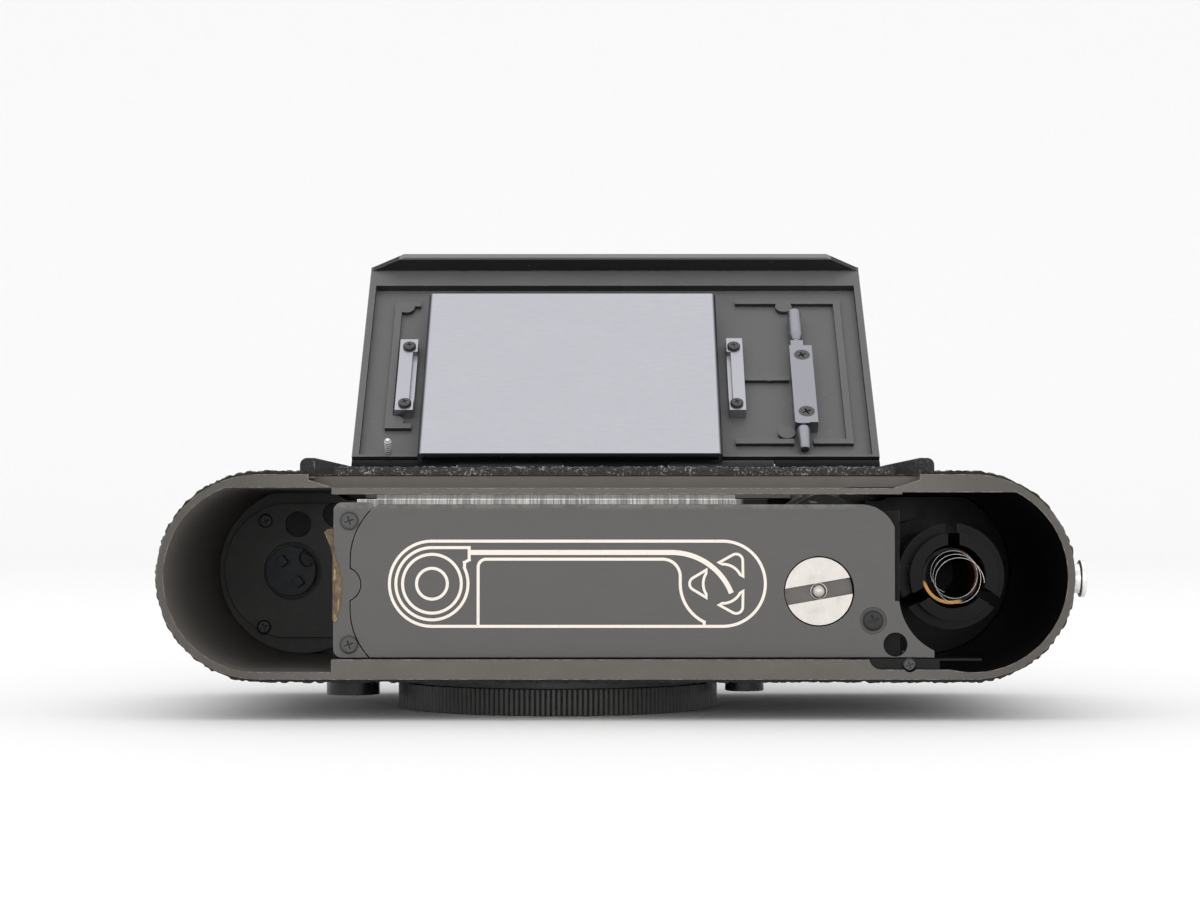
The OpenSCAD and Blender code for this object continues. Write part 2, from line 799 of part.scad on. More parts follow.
module eyepiece_lens() {
    color([0.4, 0.5, 0.6, 0.5]) z_rod(-41, 29.3, rear_z - 1.2, rear_z + 0.4, 3.05);
}

module sync_sockets() {
    color([0.6, 0.6, 0.6])
        for (x = [-14, -24])
            translate([x, 29, rear_z - 2]) difference() {
                cylinder(r = 3.15, h = 2.8);
                translate([0, 0, 0.6]) cylinder(r = 1.75, h = 3);
            }
}

module accessory_shoe() {
    half = 10.6;
    slot = 9.3;
    y0 = plate_high;
    color([0.12, 0.12, 0.12])
        difference() {
            block([-half, y0 + 0.02, 12], [half, y0 + 3.9, 30.5]);
            block([-slot, y0 + 1.1, 11], [slot, y0 + 3.1, 31]);
            block([-6.3, y0 + 1.1, 11], [6.3, y0 + 5, 31]);
            for (x = shoe_screw_x, z = shoe_screw_z) y_rod(x, z, y0 - 1, y0 + 3, screw_r);
        }
}

module shoe_screws() {
    color([0.15, 0.15, 0.15])
        for (x = shoe_screw_x, z = shoe_screw_z)
            translate([x, plate_high + 1.1, z]) rotate([-90, 0, 0]) cross_screw(1.3, 0.4, screw_r, 2.1);
}

module strap_lugs() {
    color([0.6, 0.6, 0.6])
        for (side = [-1, 1])
            translate([side < 0 ? left_cx - end_r : right_cx + end_r, 18, mid_z])
                rotate([0, side * 90, 0]) difference() {
                    union() {
                        translate([0, 0, -0.3]) cylinder(r = 3, h = 1.8);
                        translate([0, 0, 1]) cylinder(r = 1.6, h = 1.5);
                        translate([-1, 0, 4]) rotate([0, 90, 0]) cylinder(r = 2.4, h = 2);
                    }
                    translate([-2, 0, 4]) rotate([0, 90, 0]) cylinder(r = 1.2, h = 4);
                }
}

module base_plate_stud() {
    color([0.7, 0.7, 0.7]) {
        x_rod(rim_y + 3.3, mid_z - 0.3, right_cx + end_r - 0.4, right_cx + end_r + 1.2, 2.2);
        x_rod(rim_y + 3.3, mid_z - 0.3, right_cx + end_r + 1.1, right_cx + end_r + 1.9, 2.85);
    }
}

module advance_lever() {
    arm = 17;
    color([0.07, 0.07, 0.07]) {
        difference() {
            union() {
                y_rod(lever_x, lever_z, plate_low + 0.3, plate_low + 3.6, 7.8);
                translate([lever_x, plate_low + 1.6, lever_z]) rotate([0, -38, 0]) {
                    block([4, 0, -3.2], [arm, 1.4, 3.2]);
                    translate([arm, 0, 0]) rotate([-90, 0, 0]) cylinder(r = 3.2, h = 1.4);
                    translate([arm + 0.6, 0, 0]) rotate([-90, 0, 0]) cylinder(r = 2.4, h = 3.2);
                }
            }
            y_rod(lever_x, lever_z, plate_low + 2.9, plate_low + 5, 6.2);
        }
        y_rod(lever_x, lever_z, 27, plate_low + 1, 3);
        y_rod(lever_x, lever_z, plate_low + 1, plate_low + 3.3, 2.6);
    }
}

module release_button() {
    color([0.62, 0.62, 0.62])
        difference() {
            union() {
                y_rod(button_x, button_z, 28, plate_low + 4.2, 2.3);
                y_rod(button_x, button_z, plate_low + 2.2, plate_low + 4.6, 3.4);
            }
            y_rod(button_x, button_z, plate_low + 1.6, plate_low + 5, 1.4);
        }
}

module speed_dial() {
    marks = 30;
    color([0.08, 0.08, 0.08]) {
        difference() {
            y_rod(dial_x, dial_z, plate_low + 0.3, plate_low + 4.4, 7.2);
            for (i = [0 : marks - 1])
                translate([dial_x, plate_low + 1.4, dial_z]) rotate([0, i * 360 / marks, 0])
                    block([6.9, 0, -0.25], [8, 4, 0.25]);
        }
        y_rod(dial_x, dial_z, 28, plate_low + 0.5, shaft_r);
    }
}

module counter_disc() {
    color([0.85, 0.85, 0.85]) {
        y_rod(counter_x, counter_z, plate_low - 2.2, plate_low - 1.4, 4.2);
        y_rod(counter_x, counter_z, shell_top_y + 0.3, plate_low - 2.1, 0.8);
    }
}

module counter_window() {
    color([0.8, 0.85, 0.9, 0.4]) y_rod(counter_x, counter_z, plate_low - 0.9, plate_low + 0.4, 2.55);
}

module rewind_knob() {
    marks = 36;
    color([0.08, 0.08, 0.08])
        difference() {
            union() {
                y_rod(rewind_x, rewind_z, plate_high + 0.3, plate_high + 3, 7.4);
                y_rod(rewind_x, rewind_z, plate_high - 2, plate_high + 0.4, 4.8);
            }
            for (i = [0 : marks - 1])
                translate([rewind_x, plate_high + 1, rewind_z]) rotate([0, i * 360 / marks, 0])
                    block([7.1, 0, -0.25], [8, 4, 0.25]);
            translate([rewind_x, plate_high + 1.3, rewind_z]) rotate([0, crank_angle, 0]) {
                block([-9, 0, -2.2], [9, 3, 2.2]);
                translate([crank_pivot, 0.75, -3]) cylinder(r = 0.4 + run_gap, h = 6);
            }
        }
}

module rewind_crank() {
    color([0.65, 0.65, 0.65])
        translate([rewind_x, plate_high + 1.45, rewind_z]) rotate([0, crank_angle, 0]) {
            difference() {
                block([crank_pivot, 0, -1.9], [7.4, 1.2, 1.9]);
                block([-1.5, -1, -1], [3.5, 2, 1]);
            }
            translate([crank_pivot, 0.6, -1.9]) cylinder(r = 0.6, h = 3.8);
            translate([crank_pivot, 0.6, -2.9]) cylinder(r = 0.4, h = 5.8);
            translate([5.6, 1.1, 0]) rotate([-90, 0, 0]) cylinder(r = 1.7, h = 1.4);
        }
}

module rewind_fork() {
    color([0.1, 0.13, 0.2]) {
        y_rod(rewind_x, rewind_z, 19.6, plate_high - 1.9, shaft_r + 0.4);
        difference() {
            y_rod(rewind_x, rewind_z, 19.2, 20.8, 4.2);
            translate([rewind_x, 18, rewind_z]) rotate([0, -38, 0]) translate([3.6, 0, 0])
                rotate([-90, 0, 0]) cylinder(r = 1.45, h = 2.2);
        }
        for (a = [52, 232])
            translate([rewind_x, 0, rewind_z]) rotate([0, a, 0])
                block([1.4, 17.4, -0.7], [3, 19.6, 0.7]);
    }
}

// ---- Front ----

module lens_mount() {
    color([0.7, 0.7, 0.7])
        difference() {
            z_rod(0, 0, front_z - 0.75, front_z + 1.15, 25.5);
            z_rod(0, 0, 0, 20, 21.4);
            z_rod(0, 0, front_z + 0.6, 20, 22.6);
            for (a = [0 : 90 : 270])
                rotate([0, 0, a + 60]) intersection() {
                    z_rod(0, 0, front_z - 2, front_z + 0.8, 22.3);
                    block([18, -7, 0], [30, 7, 20]);
                }
            for (a = mount_angles) rotate([0, 0, a]) z_rod(mount_pitch_r, 0, 0, 20, 0.6);
        }
}

module mount_screws() {
    color([0.6, 0.6, 0.6])
        for (a = mount_angles)
            rotate([0, 0, a]) z_rod(mount_pitch_r, 0, front_z - 0.75, front_z + 2.9, 0.6);
}

module body_cap() {
    bevel = 0.3;
    color([0.05, 0.05, 0.05])
        difference() {
            union() {
                cylinder(r1 = cap_r - bevel, r2 = cap_r, h = bevel);
                translate([0, 0, bevel]) cylinder(r = cap_r, h = cap_grip - 2 * bevel);
                translate([0, 0, cap_grip - bevel]) cylinder(r1 = cap_r, r2 = cap_r - bevel, h = bevel);
                z_rod(0, 0, cap_grip - 0.1, front_z - 0.8, 25);
                z_rod(0, 0, front_z - 0.9, front_z + 2.2, 21.05);
                for (a = [0 : 90 : 270])
                    rotate([0, 0, a + 15]) intersection() {
                        z_rod(0, 0, front_z + 1.0, front_z + 2.1, 22.3);
                        block([0, -6, 0], [30, 6, 20]);
                    }
            }
            z_rod(0, 0, 2.2, front_z + 5, 19.4);
        }
}

module frame_selector_lever() {
    color([0.08, 0.08, 0.08]) {
        z_rod(selector_x, selector_y, 1.95, front_z - 0.3, 4.3);
        z_rod(selector_x, selector_y, front_z - 0.4, front_in_z - 0.3, shaft_r);
        translate([selector_x, selector_y, 2.6]) rotate([0, 0, 100]) {
            block([0, -2.4, 0], [15, 2.4, 1.8]);
            translate([15, 0, 0]) cylinder(r = 2.4, h = 1.8);
        }
    }
}

module rewind_release_lever() {
    color([0.08, 0.08, 0.08]) {
        z_rod(release_x, release_y, 4.1, front_z - 0.3, 3.2);
        z_rod(release_x, release_y, front_z - 0.4, front_in_z - 0.5, 1.5);
        translate([release_x, release_y, 4.1]) rotate([0, 0, -100]) {
            block([0, -1.7, 0], [9, 1.7, 1]);
            translate([9, 0, 0]) cylinder(r = 1.7, h = 1);
        }
    }
}

module lens_release_button() {
    color([0.6, 0.6, 0.6]) {
        z_rod(lens_button_x, lens_button_y, 2.8, front_z - 0.4 + 0.6, 3.1);
        z_rod(lens_button_x, lens_button_y, front_z, front_in_z + 1, 1);
    }
}

module hinge_pin() {
    color([0.6, 0.6, 0.6]) x_rod(hinge_y, hinge_z, door_l, door_r, pin_r);
}

// ---- Back door, drawn in the door's own frame ----

module door_ribs() {
    top = door_floor + 0.75;
    low = door_floor - 0.1;
    rib = 1.2;
    // Right frame
    block([49.4, 5.4, low], [49.4 + rib, 45, top]);
    block([30.3, 5.4, low], [guide_x - 1.7, 5.4 + rib, top]);
    block([guide_x + 1.7, 5.4, low], [50.4, 5.4 + rib, top]);
    block([31.5, 43.8, low], [50.4, 43.8 + rib, top]);
    block([32.4, 22.2, low], [40.3, 22.2 + rib, top]);
    // Left frame
    block([-30.6, 9.4, low], [-30.6 + rib, 44.3, top]);
    block([-30.6, 43.1, low], [-26, 43.1 + rib, top]);
    block([-30.6, 9.4, low], [-26, 9.4 + rib, top]);
    // Bosses
    for (p = [[-28.6, 42.8], [-28.9, 11.2], [40.3, 43], [39.2, 8.3], [36.8, 23.6]])
        z_rod(p.x, p.y, low, top, 1.5);
}

module back_door() {
    color([0.42, 0.42, 0.43])
        on_door() {
            difference() {
                union() {
                    block([door_l, door_start, door_back], [door_r, door_len, door_face]);
                    // Lip with sloping ends that closes on the rim
                    translate([0, door_len, 0]) rotate([90, 0, 0]) linear_extrude(lip_t)
                        polygon([
                            [door_l + 0.3, door_face - 0.5], [door_l + 0.3, door_face],
                            [door_l + 6.2, door_face + lip_h], [door_r - 6.1, door_face + lip_h],
                            [door_r - 0.3, door_face], [door_r - 0.3, door_face - 0.5]
                        ]);
                    for (i = [1 : 2 : knuckles - 1]) {
                        x_rod(0, 0, knuckle_x(i) + 0.1, knuckle_x(i + 1) - 0.1, knuckle_r);
                        block([knuckle_x(i) + 0.1, 0, -knuckle_r + 0.05],
                              [knuckle_x(i + 1) - 0.1, door_start + 0.1, 0]);
                    }
                }
                block([door_l + door_side, door_start + 0.5, door_floor],
                      [door_r - door_side, door_len - door_band, door_face + 1]);
                x_rod(0, 0, door_l - 1, door_r + 1, pin_r + run_gap);
                z_rod(dial_door_x, dial_door_y, -3, 3, 1.55);
                z_rod(pin_x, pin_y, -3, 3, 0.45 + run_gap);
            }
            door_ribs();
        }
}

module door_covering() {
    color([0.05, 0.05, 0.05])
        on_door() difference() {
            block([door_l + 1, 6, door_back - 0.5], [door_r - 1, door_len - 2, door_back]);
            z_rod(dial_door_x, dial_door_y, -5, 0, 12.9);
        }
}

module film_speed_dial() {
    color([0.1, 0.1, 0.1])
        on_door() {
            difference() {
                z_rod(dial_door_x, dial_door_y, door_back - 1.4, door_back - 0.15, 12.5);
                z_rod(dial_door_x, dial_door_y, door_back - 2, door_back - 1.1, 9.5);
            }
            z_rod(dial_door_x, dial_door_y, door_back - 1.4, door_floor - 0.1, 1.5);
        }
}

module plate_clips() {
    color([0.67, 0.67, 0.71])
        on_door() {
            difference() {
                union() {
                    block([-29, 12.8, door_floor], [-25.8, 32.1, 1.7]);
                    block([29.4, 12.8, door_floor], [32.3, 32.4, 1.7]);
                }
                block([-26.6, 15.6, 0.6], [-25, 28.6, 3]);
                block([28.4, 15.6, 0.6], [30.1, 28.6, 3]);
                for (x = [-27.3, 30.7], y = [14.4, 29.9]) z_rod(x, y, 0, 3, 0.6);
            }
        }
}

module clip_screws() {
    color([0.25, 0.25, 0.27])
        on_door() for (x = [-27.3, 30.7], y = [14.4, 29.9])
            translate([x, y, 1.7]) cross_screw(1.15, 0.6, 0.55, 1.6);
}

// Bowed leaf that pushes the pressure plate off the door
module plate_spring() {
    bow_r = 60;
    half = 19.9;
    rise = 3.0;
    color([0.5, 0.5, 0.52])
        on_door() {
            translate([0, 16, 0]) rotate([90, 0, 0]) translate([0, 0, -9]) linear_extrude(9)
                intersection() {
                    translate([1.8, rise - bow_r]) difference() {
                        circle(bow_r, $fn = 180);
                        circle(bow_r - 0.35, $fn = 180);
                    }
                    translate([1.8 - half, door_floor]) square([2 * half, 6]);
                }
        }
}

module pressure_plate() {
    x0 = -24.2;
    x1 = 27.7;
    y0 = -1.5;
    y1 = 41.9;
    face = door_face + 3.4;
    bend = 0.8;
    color([0.76, 0.76, 0.8])
        on_door() {
            translate([0, y1, 0]) rotate([90, 0, 0]) linear_extrude(y1 - y0) {
                translate([x0 + bend, face - bend]) square([x1 - x0 - 2 * bend, bend]);
                translate([x0, face - 2.1]) square([bend, 2.1 - bend]);
                translate([x1 - bend, face - 2.1]) square([bend, 2.1 - bend]);
                for (x = [x0 + bend, x1 - bend]) intersection() {
                    translate([x, face - bend]) circle(bend);
                    translate([x < 0 ? x - bend : x, face - bend]) square(bend);
                }
            }
        }
}

module guide_bracket() {
    color([0.58, 0.58, 0.63])
        on_door() difference() {
            union() {
                block([40.6, 9, door_floor], [44.6, 29.8, 2.2]);
                // Ears that carry the roller axles
                block([40.9, 29.8, 0.5], [43.1, 31.2, 2.2]);
                block([40.9, 8.8, 0.5], [43.1, 9.1, 2.2]);
            }
            for (y = [11.9, 27.2]) {
                z_rod(42.75, y, 0, 4, 0.65);
                translate([42.75, y, 1.5]) cylinder(r1 = 0.7, r2 = 1.5, h = 0.75);
            }
            translate([guide_x, 33.5, guide_z]) rotate([90, 0, 0]) cylinder(r = 0.6 + run_gap, h = 5);
            translate([guide_x, 12, guide_z]) rotate([90, 0, 0]) cylinder(r = 0.6 + run_gap, h = 5);
        }
}

module guide_screws() {
    color([0.15, 0.15, 0.17])
        on_door() for (y = [11.9, 27.2])
            translate([42.75, y, 0]) difference() {
                union() {
                    translate([0, 0, 0.2]) cylinder(r = 0.6, h = 1.6);
                    translate([0, 0, 1.5]) cylinder(r1 = 0.7, r2 = 1.4, h = 0.7);
                }
                for (a = [25, 115]) rotate([0, 0, a]) block([-0.8, -0.16, 1.75], [0.8, 0.16, 3]);
            }
}

module upper_roller() {
    color([0.6, 0.6, 0.64])
        on_door() translate([guide_x, 0, guide_z]) rotate([-90, 0, 0]) {
            translate([0, 0, 29]) cylinder(r = 0.6, h = 5);
            translate([0, 0, 32]) cylinder(r1 = 0.7, r2 = 1.25, h = 1.6);
            translate([0, 0, 33.6]) cylinder(r = 1.25, h = 6.2);
            translate([0, 0, 39.8]) cylinder(r1 = 1.25, r2 = 0.9, h = 0.4);
        }
}

module lower_roller() {
    color([0.6, 0.6, 0.64])
        on_door() translate([guide_x, 0, guide_z]) rotate([-90, 0, 0]) {
            translate([0, 0, 7.5]) cylinder(r = 0.6, h = 3.5);
            translate([0, 0, 3.2]) cylinder(r1 = 0.95, r2 = 1.2, h = 4.8);
            translate([0, 0, 2.8]) cylinder(r1 = 0.7, r2 = 0.95, h = 0.4);
        }
}

module contact_pin() {
    color([0.85, 0.85, 0.85])
        on_door() {
            z_rod(pin_x, pin_y, -0.9, 0, 0.45);
            z_rod(pin_x, pin_y, 0.5, 3, 0.62);
            z_rod(pin_x, pin_y, -0.1, 0.6, 0.45);
            translate([pin_x, pin_y, 3]) sphere(0.62);
        }
}

body_shell();
hinge_leaf();
body_covering();
shutter_crate();
film_gate();
shutter_curtain();
gear_cover();
cover_end_strip();
cover_screws();
loading_diagram();
cartridge_end_plate();
end_plate_screws();
takeup_end_plate();
top_plate();
viewfinder_block();
viewfinder_window();
brightline_window();
rangefinder_window();
eyepiece_ring();
eyepiece_lens();
accessory_shoe();
shoe_screws();
lens_mount();
mount_screws();
strap_lugs();
base_plate_stud();
sync_sockets();
hinge_pin();
counter_window();
body_cap();
coupling_disc();
takeup_spool();
spool_spring();
spool_tube();
film_sprocket();
shutter_drum();
spring_roller();
advance_lever();
release_button();
speed_dial();
counter_disc();
rewind_knob();
rewind_fork();
rewind_crank();
frame_selector_lever();
rewind_release_lever();
lens_release_button();
back_door();
door_covering();
plate_clips();
clip_screws();
plate_spring();
pressure_plate();
guide_bracket();
guide_screws();
upper_roller();
lower_roller();
contact_pin();
film_speed_dial();
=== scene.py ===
"""Looks of a 35 mm rangefinder camera that lies on its body cap with its back door open.

Lengths are worked out in millimetres and turned into metres with MM. Frame: X along the body,
Y towards the top plate, Z towards the back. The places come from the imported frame.
"""

import json
import math

import bmesh
import bpy
import numpy as np
from mathutils import Matrix, Vector, noise


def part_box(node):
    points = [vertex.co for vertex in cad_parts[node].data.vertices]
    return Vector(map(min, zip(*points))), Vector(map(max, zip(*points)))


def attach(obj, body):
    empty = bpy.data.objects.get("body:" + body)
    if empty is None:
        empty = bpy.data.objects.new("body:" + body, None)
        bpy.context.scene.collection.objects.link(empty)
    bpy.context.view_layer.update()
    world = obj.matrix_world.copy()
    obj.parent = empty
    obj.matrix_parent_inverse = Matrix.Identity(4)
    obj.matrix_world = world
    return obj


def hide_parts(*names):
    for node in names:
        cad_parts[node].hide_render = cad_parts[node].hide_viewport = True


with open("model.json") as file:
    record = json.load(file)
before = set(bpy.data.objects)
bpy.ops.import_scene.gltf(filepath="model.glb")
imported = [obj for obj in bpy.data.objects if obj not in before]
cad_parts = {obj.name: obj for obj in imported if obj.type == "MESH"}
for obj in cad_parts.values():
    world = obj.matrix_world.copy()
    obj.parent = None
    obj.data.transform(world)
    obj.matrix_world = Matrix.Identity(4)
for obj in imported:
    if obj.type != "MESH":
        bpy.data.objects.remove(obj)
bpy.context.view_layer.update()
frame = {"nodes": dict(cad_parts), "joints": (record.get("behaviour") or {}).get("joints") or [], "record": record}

MM = 0.001
NODE_SLOT = {part["node"]: part["material_slot"] for part in frame["record"]["subparts"]}
NODE_BODY = {
    node: body
    for body, names in frame["record"]["behaviour"]["bodies"].items()
    for node in names
}
JOINTS = {joint["name"]: joint for joint in frame["joints"]}


def box_mm(node):
    """Lowest and highest corner of a CAD node, in millimetres."""
    low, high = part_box(node)
    return low / MM, high / MM


def middle_mm(node):
    """Middle of a CAD node's box, in millimetres."""
    low, high = box_mm(node)
    return (low + high) / 2


# ---- Frame values, in millimetres ----

# Thickness of the covering, width of the ridges beside the back opening, way to the top plate
SKIN_T = 0.7
RIDGE_W = 2.2
TOP = Vector((0, 1, 0))
SHELL_LOW, SHELL_HIGH = box_mm("body_shell")
SKIN_LOW, SKIN_HIGH = box_mm("body_covering")
RIM_Y = SHELL_LOW.y

# The covering runs round two half circles with their centres on the body's middle plane
SKIN_R = (SKIN_HIGH.z - SKIN_LOW.z) / 2
MID_Z = (SKIN_HIGH.z + SKIN_LOW.z) / 2
LEFT_CX = SKIN_LOW.x + SKIN_R
RIGHT_CX = SKIN_HIGH.x - SKIN_R

LEAF_LOW, LEAF_HIGH = box_mm("hinge_leaf")
BODY_MID_X = (SHELL_LOW.x + SHELL_HIGH.x) / 2
COVER_LOW, COVER_HIGH = box_mm("gear_cover")
STRIP_LOW = box_mm("cover_end_strip")[0]
GATE_LOW, GATE_HIGH = box_mm("film_gate")
DISC = middle_mm("coupling_disc")
SPOOL = middle_mm("takeup_spool")

# The light-trap rib: its lower face, thickness, crest and ends
RIB_Y = RIM_Y + 2.9
RIB_T = 1.2
RIB_Z = 38.1
RIB_L, RIB_R = -33.2, 51.4

# Heights on the rib: the seat for the door's lip, and where the crackle coat starts
SEAT_Z = 34.9
COAT_Z = 36.9

# The door's own frame: X as the body, up from the hinge to the free edge, out of the inner face
HINGE = Vector(JOINTS["door_hinge"]["pos_m"]) / MM
DOOR_OUT = -Vector(JOINTS["plate_float"]["axis"])
DOOR_UP = DOOR_OUT.cross(Vector((1, 0, 0)))


def on_door(x, up, out):
    """A place in the door's own frame, in the row frame."""
    return Vector((x, HINGE.y, HINGE.z)) + DOOR_UP * up + DOOR_OUT * out


def reach_of(node, direction, origin=(0, 0, 0)):
    """How far a node's mesh reaches in a direction from an origin."""
    origin = Vector(origin)
    return max((vert.co / MM - origin).dot(direction) for vert in frame["nodes"][node].data.vertices)


# ---- Materials ----


class Look:
    """One node material. Its calls add nodes and return their output sockets; sizes are in mm."""

    def __init__(self, name, **values):
        self.material = bpy.data.materials.new(name)
        self.material.use_nodes = True
        self.tree = self.material.node_tree
        self.shader = self.tree.nodes["Principled BSDF"]
        self.place = self.add("ShaderNodeTexCoord").outputs["Object"]
        self.normal = None
        for name, value in values.items():
            self.feed(self.shader.inputs[name.replace("_", " ")], value)

    def add(self, kind, inputs=None, **settings):
        """A new node with its inputs fed and its own settings made."""
        node = self.tree.nodes.new(kind)
        for name, value in settings.items():
            setattr(node, name, value)
        for name, value in (inputs or {}).items():
            self.feed(node.inputs[name], value)
        return node

    def feed(self, socket, value):
        """Links a socket to an output, or sets its value."""
        if isinstance(value, bpy.types.NodeSocket):
            self.tree.links.new(value, socket)
        elif socket.type == "RGBA":
            socket.default_value = (*value, 1)
        else:
            socket.default_value = value

    def noise(self, size, detail=2.0, rough=0.5, stretch=(1, 1, 1), shift=0.0):
        """Cloudy noise with features of a size; a small stretch value draws it out along an axis."""
        moved = self.add(
            "ShaderNodeMapping",
            {"Vector": self.place, "Scale": stretch, "Location": (shift, shift, shift)},
        )
        inputs = {
            "Vector": moved.outputs[0], "Scale": 1 / (size * MM), "Detail": detail, "Roughness": rough,
        }
        return self.add("ShaderNodeTexNoise", inputs).outputs["Fac"]

    def cells(self, size):
        """Distance to the nearest of scattered points that are about a size apart."""
        inputs = {"Vector": self.place, "Scale": 1 / (size * MM)}
        return self.add("ShaderNodeTexVoronoi", inputs).outputs["Distance"]

    def calc(self, operation, a, b=0.0):
        node = self.add("ShaderNodeMath", operation=operation)
        self.feed(node.inputs[0], a)
        self.feed(node.inputs[1], b)
        return node.outputs[0]

    def both(self, a, b):
        """A mask where two masks meet, or a mask at a part of its strength."""
        return self.calc("MULTIPLY", a, b)

    def either(self, a, b):
        """A mask where either mask is."""
        return self.calc("MAXIMUM", a, b)

    def average(self, a, b):
        return self.both(self.calc("ADD", a, b), 0.5)

    def step(self, value, low, high, to_low=0.0, to_high=1.0):
        """0 below low, 1 above high and a smooth change between; low may be above high."""
        inputs = {
            "Value": value, "From Min": low, "From Max": high, "To Min": to_low, "To Max": to_high,
        }
        return self.add("ShaderNodeMapRange", inputs, interpolation_type="SMOOTHSTEP").outputs[0]

    def mix(self, share, a, b):
        """Colour a where the share is 0, colour b where it is 1."""
        node = self.add("ShaderNodeMix", data_type="RGBA")
        self.feed(node.inputs[0], share)
        self.feed(node.inputs[6], a)
        self.feed(node.inputs[7], b)
        return node.outputs[2]

    def along(self, direction, origin=(0, 0, 0)):
        """Distance along a direction from an origin, in mm."""
        moved = self.add("ShaderNodeVectorMath", operation="SCALE")
        self.feed(moved.inputs[0], self.place)
        moved.inputs["Scale"].default_value = 1 / MM
        dot = self.add("ShaderNodeVectorMath", operation="DOT_PRODUCT")
        self.feed(dot.inputs[0], moved.outputs[0])
        dot.inputs[1].default_value = direction
        return self.calc("SUBTRACT", dot.outputs["Value"], Vector(direction).dot(Vector(origin)))

    def facing(self, direction):
        """Cosine between the surface and a direction, in the object's own frame."""
        normal = self.add("ShaderNodeTexCoord").outputs["Normal"]
        dot = self.add("ShaderNodeVectorMath", operation="DOT_PRODUCT")
        self.feed(dot.inputs[0], normal)
        dot.inputs[1].default_value = direction
        return dot.outputs["Value"]

    def edges(self, radius):
        """1 along sharp edges and in corners, 0 on open faces."""
        bevel = self.add("ShaderNodeBevel", {"Radius": radius * MM}, samples=4)
        dot = self.add("ShaderNodeVectorMath", operation="DOT_PRODUCT")
        self.feed(dot.inputs[0], bevel.outputs[0])
        self.feed(dot.inputs[1], self.add("ShaderNodeNewGeometry").outputs["Normal"])
        return self.step(dot.outputs["Value"], 0.99, 0.8)

    def bump(self, height, depth):
        """Adds relief of a depth on top of any relief before it."""
        inputs = {"Height": height, "Distance": depth * MM, "Strength": 1.0}
        if self.normal:
            inputs["Normal"] = self.normal
        self.normal = self.add("ShaderNodeBump", inputs).outputs[0]

    def done(self, **sockets):
        """Feeds the shader's sockets and its normal, and returns the material."""
        for name, value in sockets.items():
            self.feed(self.shader.inputs[name.replace("_", " ")], value)
        if self.normal:
            self.feed(self.shader.inputs["Normal"], self.normal)
        return self.material


def grey(value, warm=0.0):
    """A grey colour; warm moves it towards red."""
    return (value * (1 + warm), value, value * (1 - warm))


def shell_look():
    """Olive paint on the rim, dark paint in the chambers with painted shade, near black, over the right chamber's
    wall, black crackle on the ribs behind.
    """
    look = Look("shell_paint", Specular_IOR_Level=0.2)
    along_x = look.along((1, 0, 0))
    along_y = look.along((0, 1, 0))
    along_z = look.along((0, 0, 1))
    rim = look.step(along_y, RIM_Y + 0.25, RIM_Y + 0.12)
    blotch = look.noise(5.0, 4.0, 0.6)
    fine = look.noise(0.35, 3.0, 0.7)
    olive = look.mix(blotch, grey(0.1, 0.1), grey(0.135, 0.08))
    from_middle = look.calc("ABSOLUTE", look.along((1, 0, 0), (BODY_MID_X, 0, 0)))
    ends = look.step(from_middle, 42, 58)
    olive = look.mix(ends, olive, look.mix(blotch, grey(0.075, 0.12), grey(0.1, 0.1)))
    olive = look.mix(look.step(fine, 0.6, 0.85), olive, grey(0.2, 0.05))
    # right: the right chamber's wall, painted near black as the shade inside that deep chamber
    right = look.step(along_x, COVER_HIGH.x - 14, COVER_HIGH.x - 12)
    dust = look.step(look.noise(1.2, 5.0, 0.8), 0.58, 0.85)
    wall = look.mix(dust, grey(0.15, 0.08), grey(0.21, 0.06))
    wall = look.mix(right, wall, look.mix(dust, grey(0.004), grey(0.012)))
    above_seat = look.step(along_z, SEAT_Z + 0.1, SEAT_Z + 0.3)
    strip = look.both(above_seat, look.step(along_y, RIB_Y + 0.3, RIB_Y + 0.1))
    behind = look.step(along_z, COAT_Z - 0.2, COAT_Z)
    behind = look.both(behind, look.step(along_y, RIM_Y + 0.5, RIM_Y + 0.9))
    lumps = look.noise(0.45, 5.0, 0.75)
    worn = look.both(look.step(look.noise(1.6, 5.0, 0.8), 0.5, 0.66), look.step(lumps, 0.5, 0.62))
    crackle = look.mix(worn, grey(0.03), grey(0.3))
    colour = look.mix(look.either(rim, strip), wall, olive)
    colour = look.mix(behind, colour, crackle)
    chipped = look.both(look.edges(0.22), look.step(look.noise(0.9, 4.0, 0.7), 0.45, 0.62))
    chipped = look.both(chipped, look.either(rim, behind))
    colour = look.mix(chipped, colour, grey(0.42, 0.05))
    rough = look.calc("SUBTRACT", 0.55, look.both(right, 0.25))
    look.bump(look.both(look.calc("ADD", look.cells(0.55), lumps), behind), 0.25)
    look.bump(fine, 0.02)
    return look.done(Base_Color=colour, Roughness=rough)


def crackle_look():
    """Black wrinkle paint with bright worn specks on its high spots."""
    look = Look("crackle_paint", Specular_IOR_Level=0.4)
    lumps = look.noise(0.4, 5.0, 0.75)
    worn = look.step(look.noise(1.8, 5.0, 0.8), 0.46, 0.6)
    worn = look.both(worn, look.step(lumps, 0.5, 0.6))
    colour = look.mix(worn, grey(0.022), grey(0.34))
    look.bump(look.calc("ADD", look.cells(0.5), lumps), 0.2)
    return look.done(Base_Color=colour, Roughness=look.step(worn, 0, 1, 0.5, 0.3))


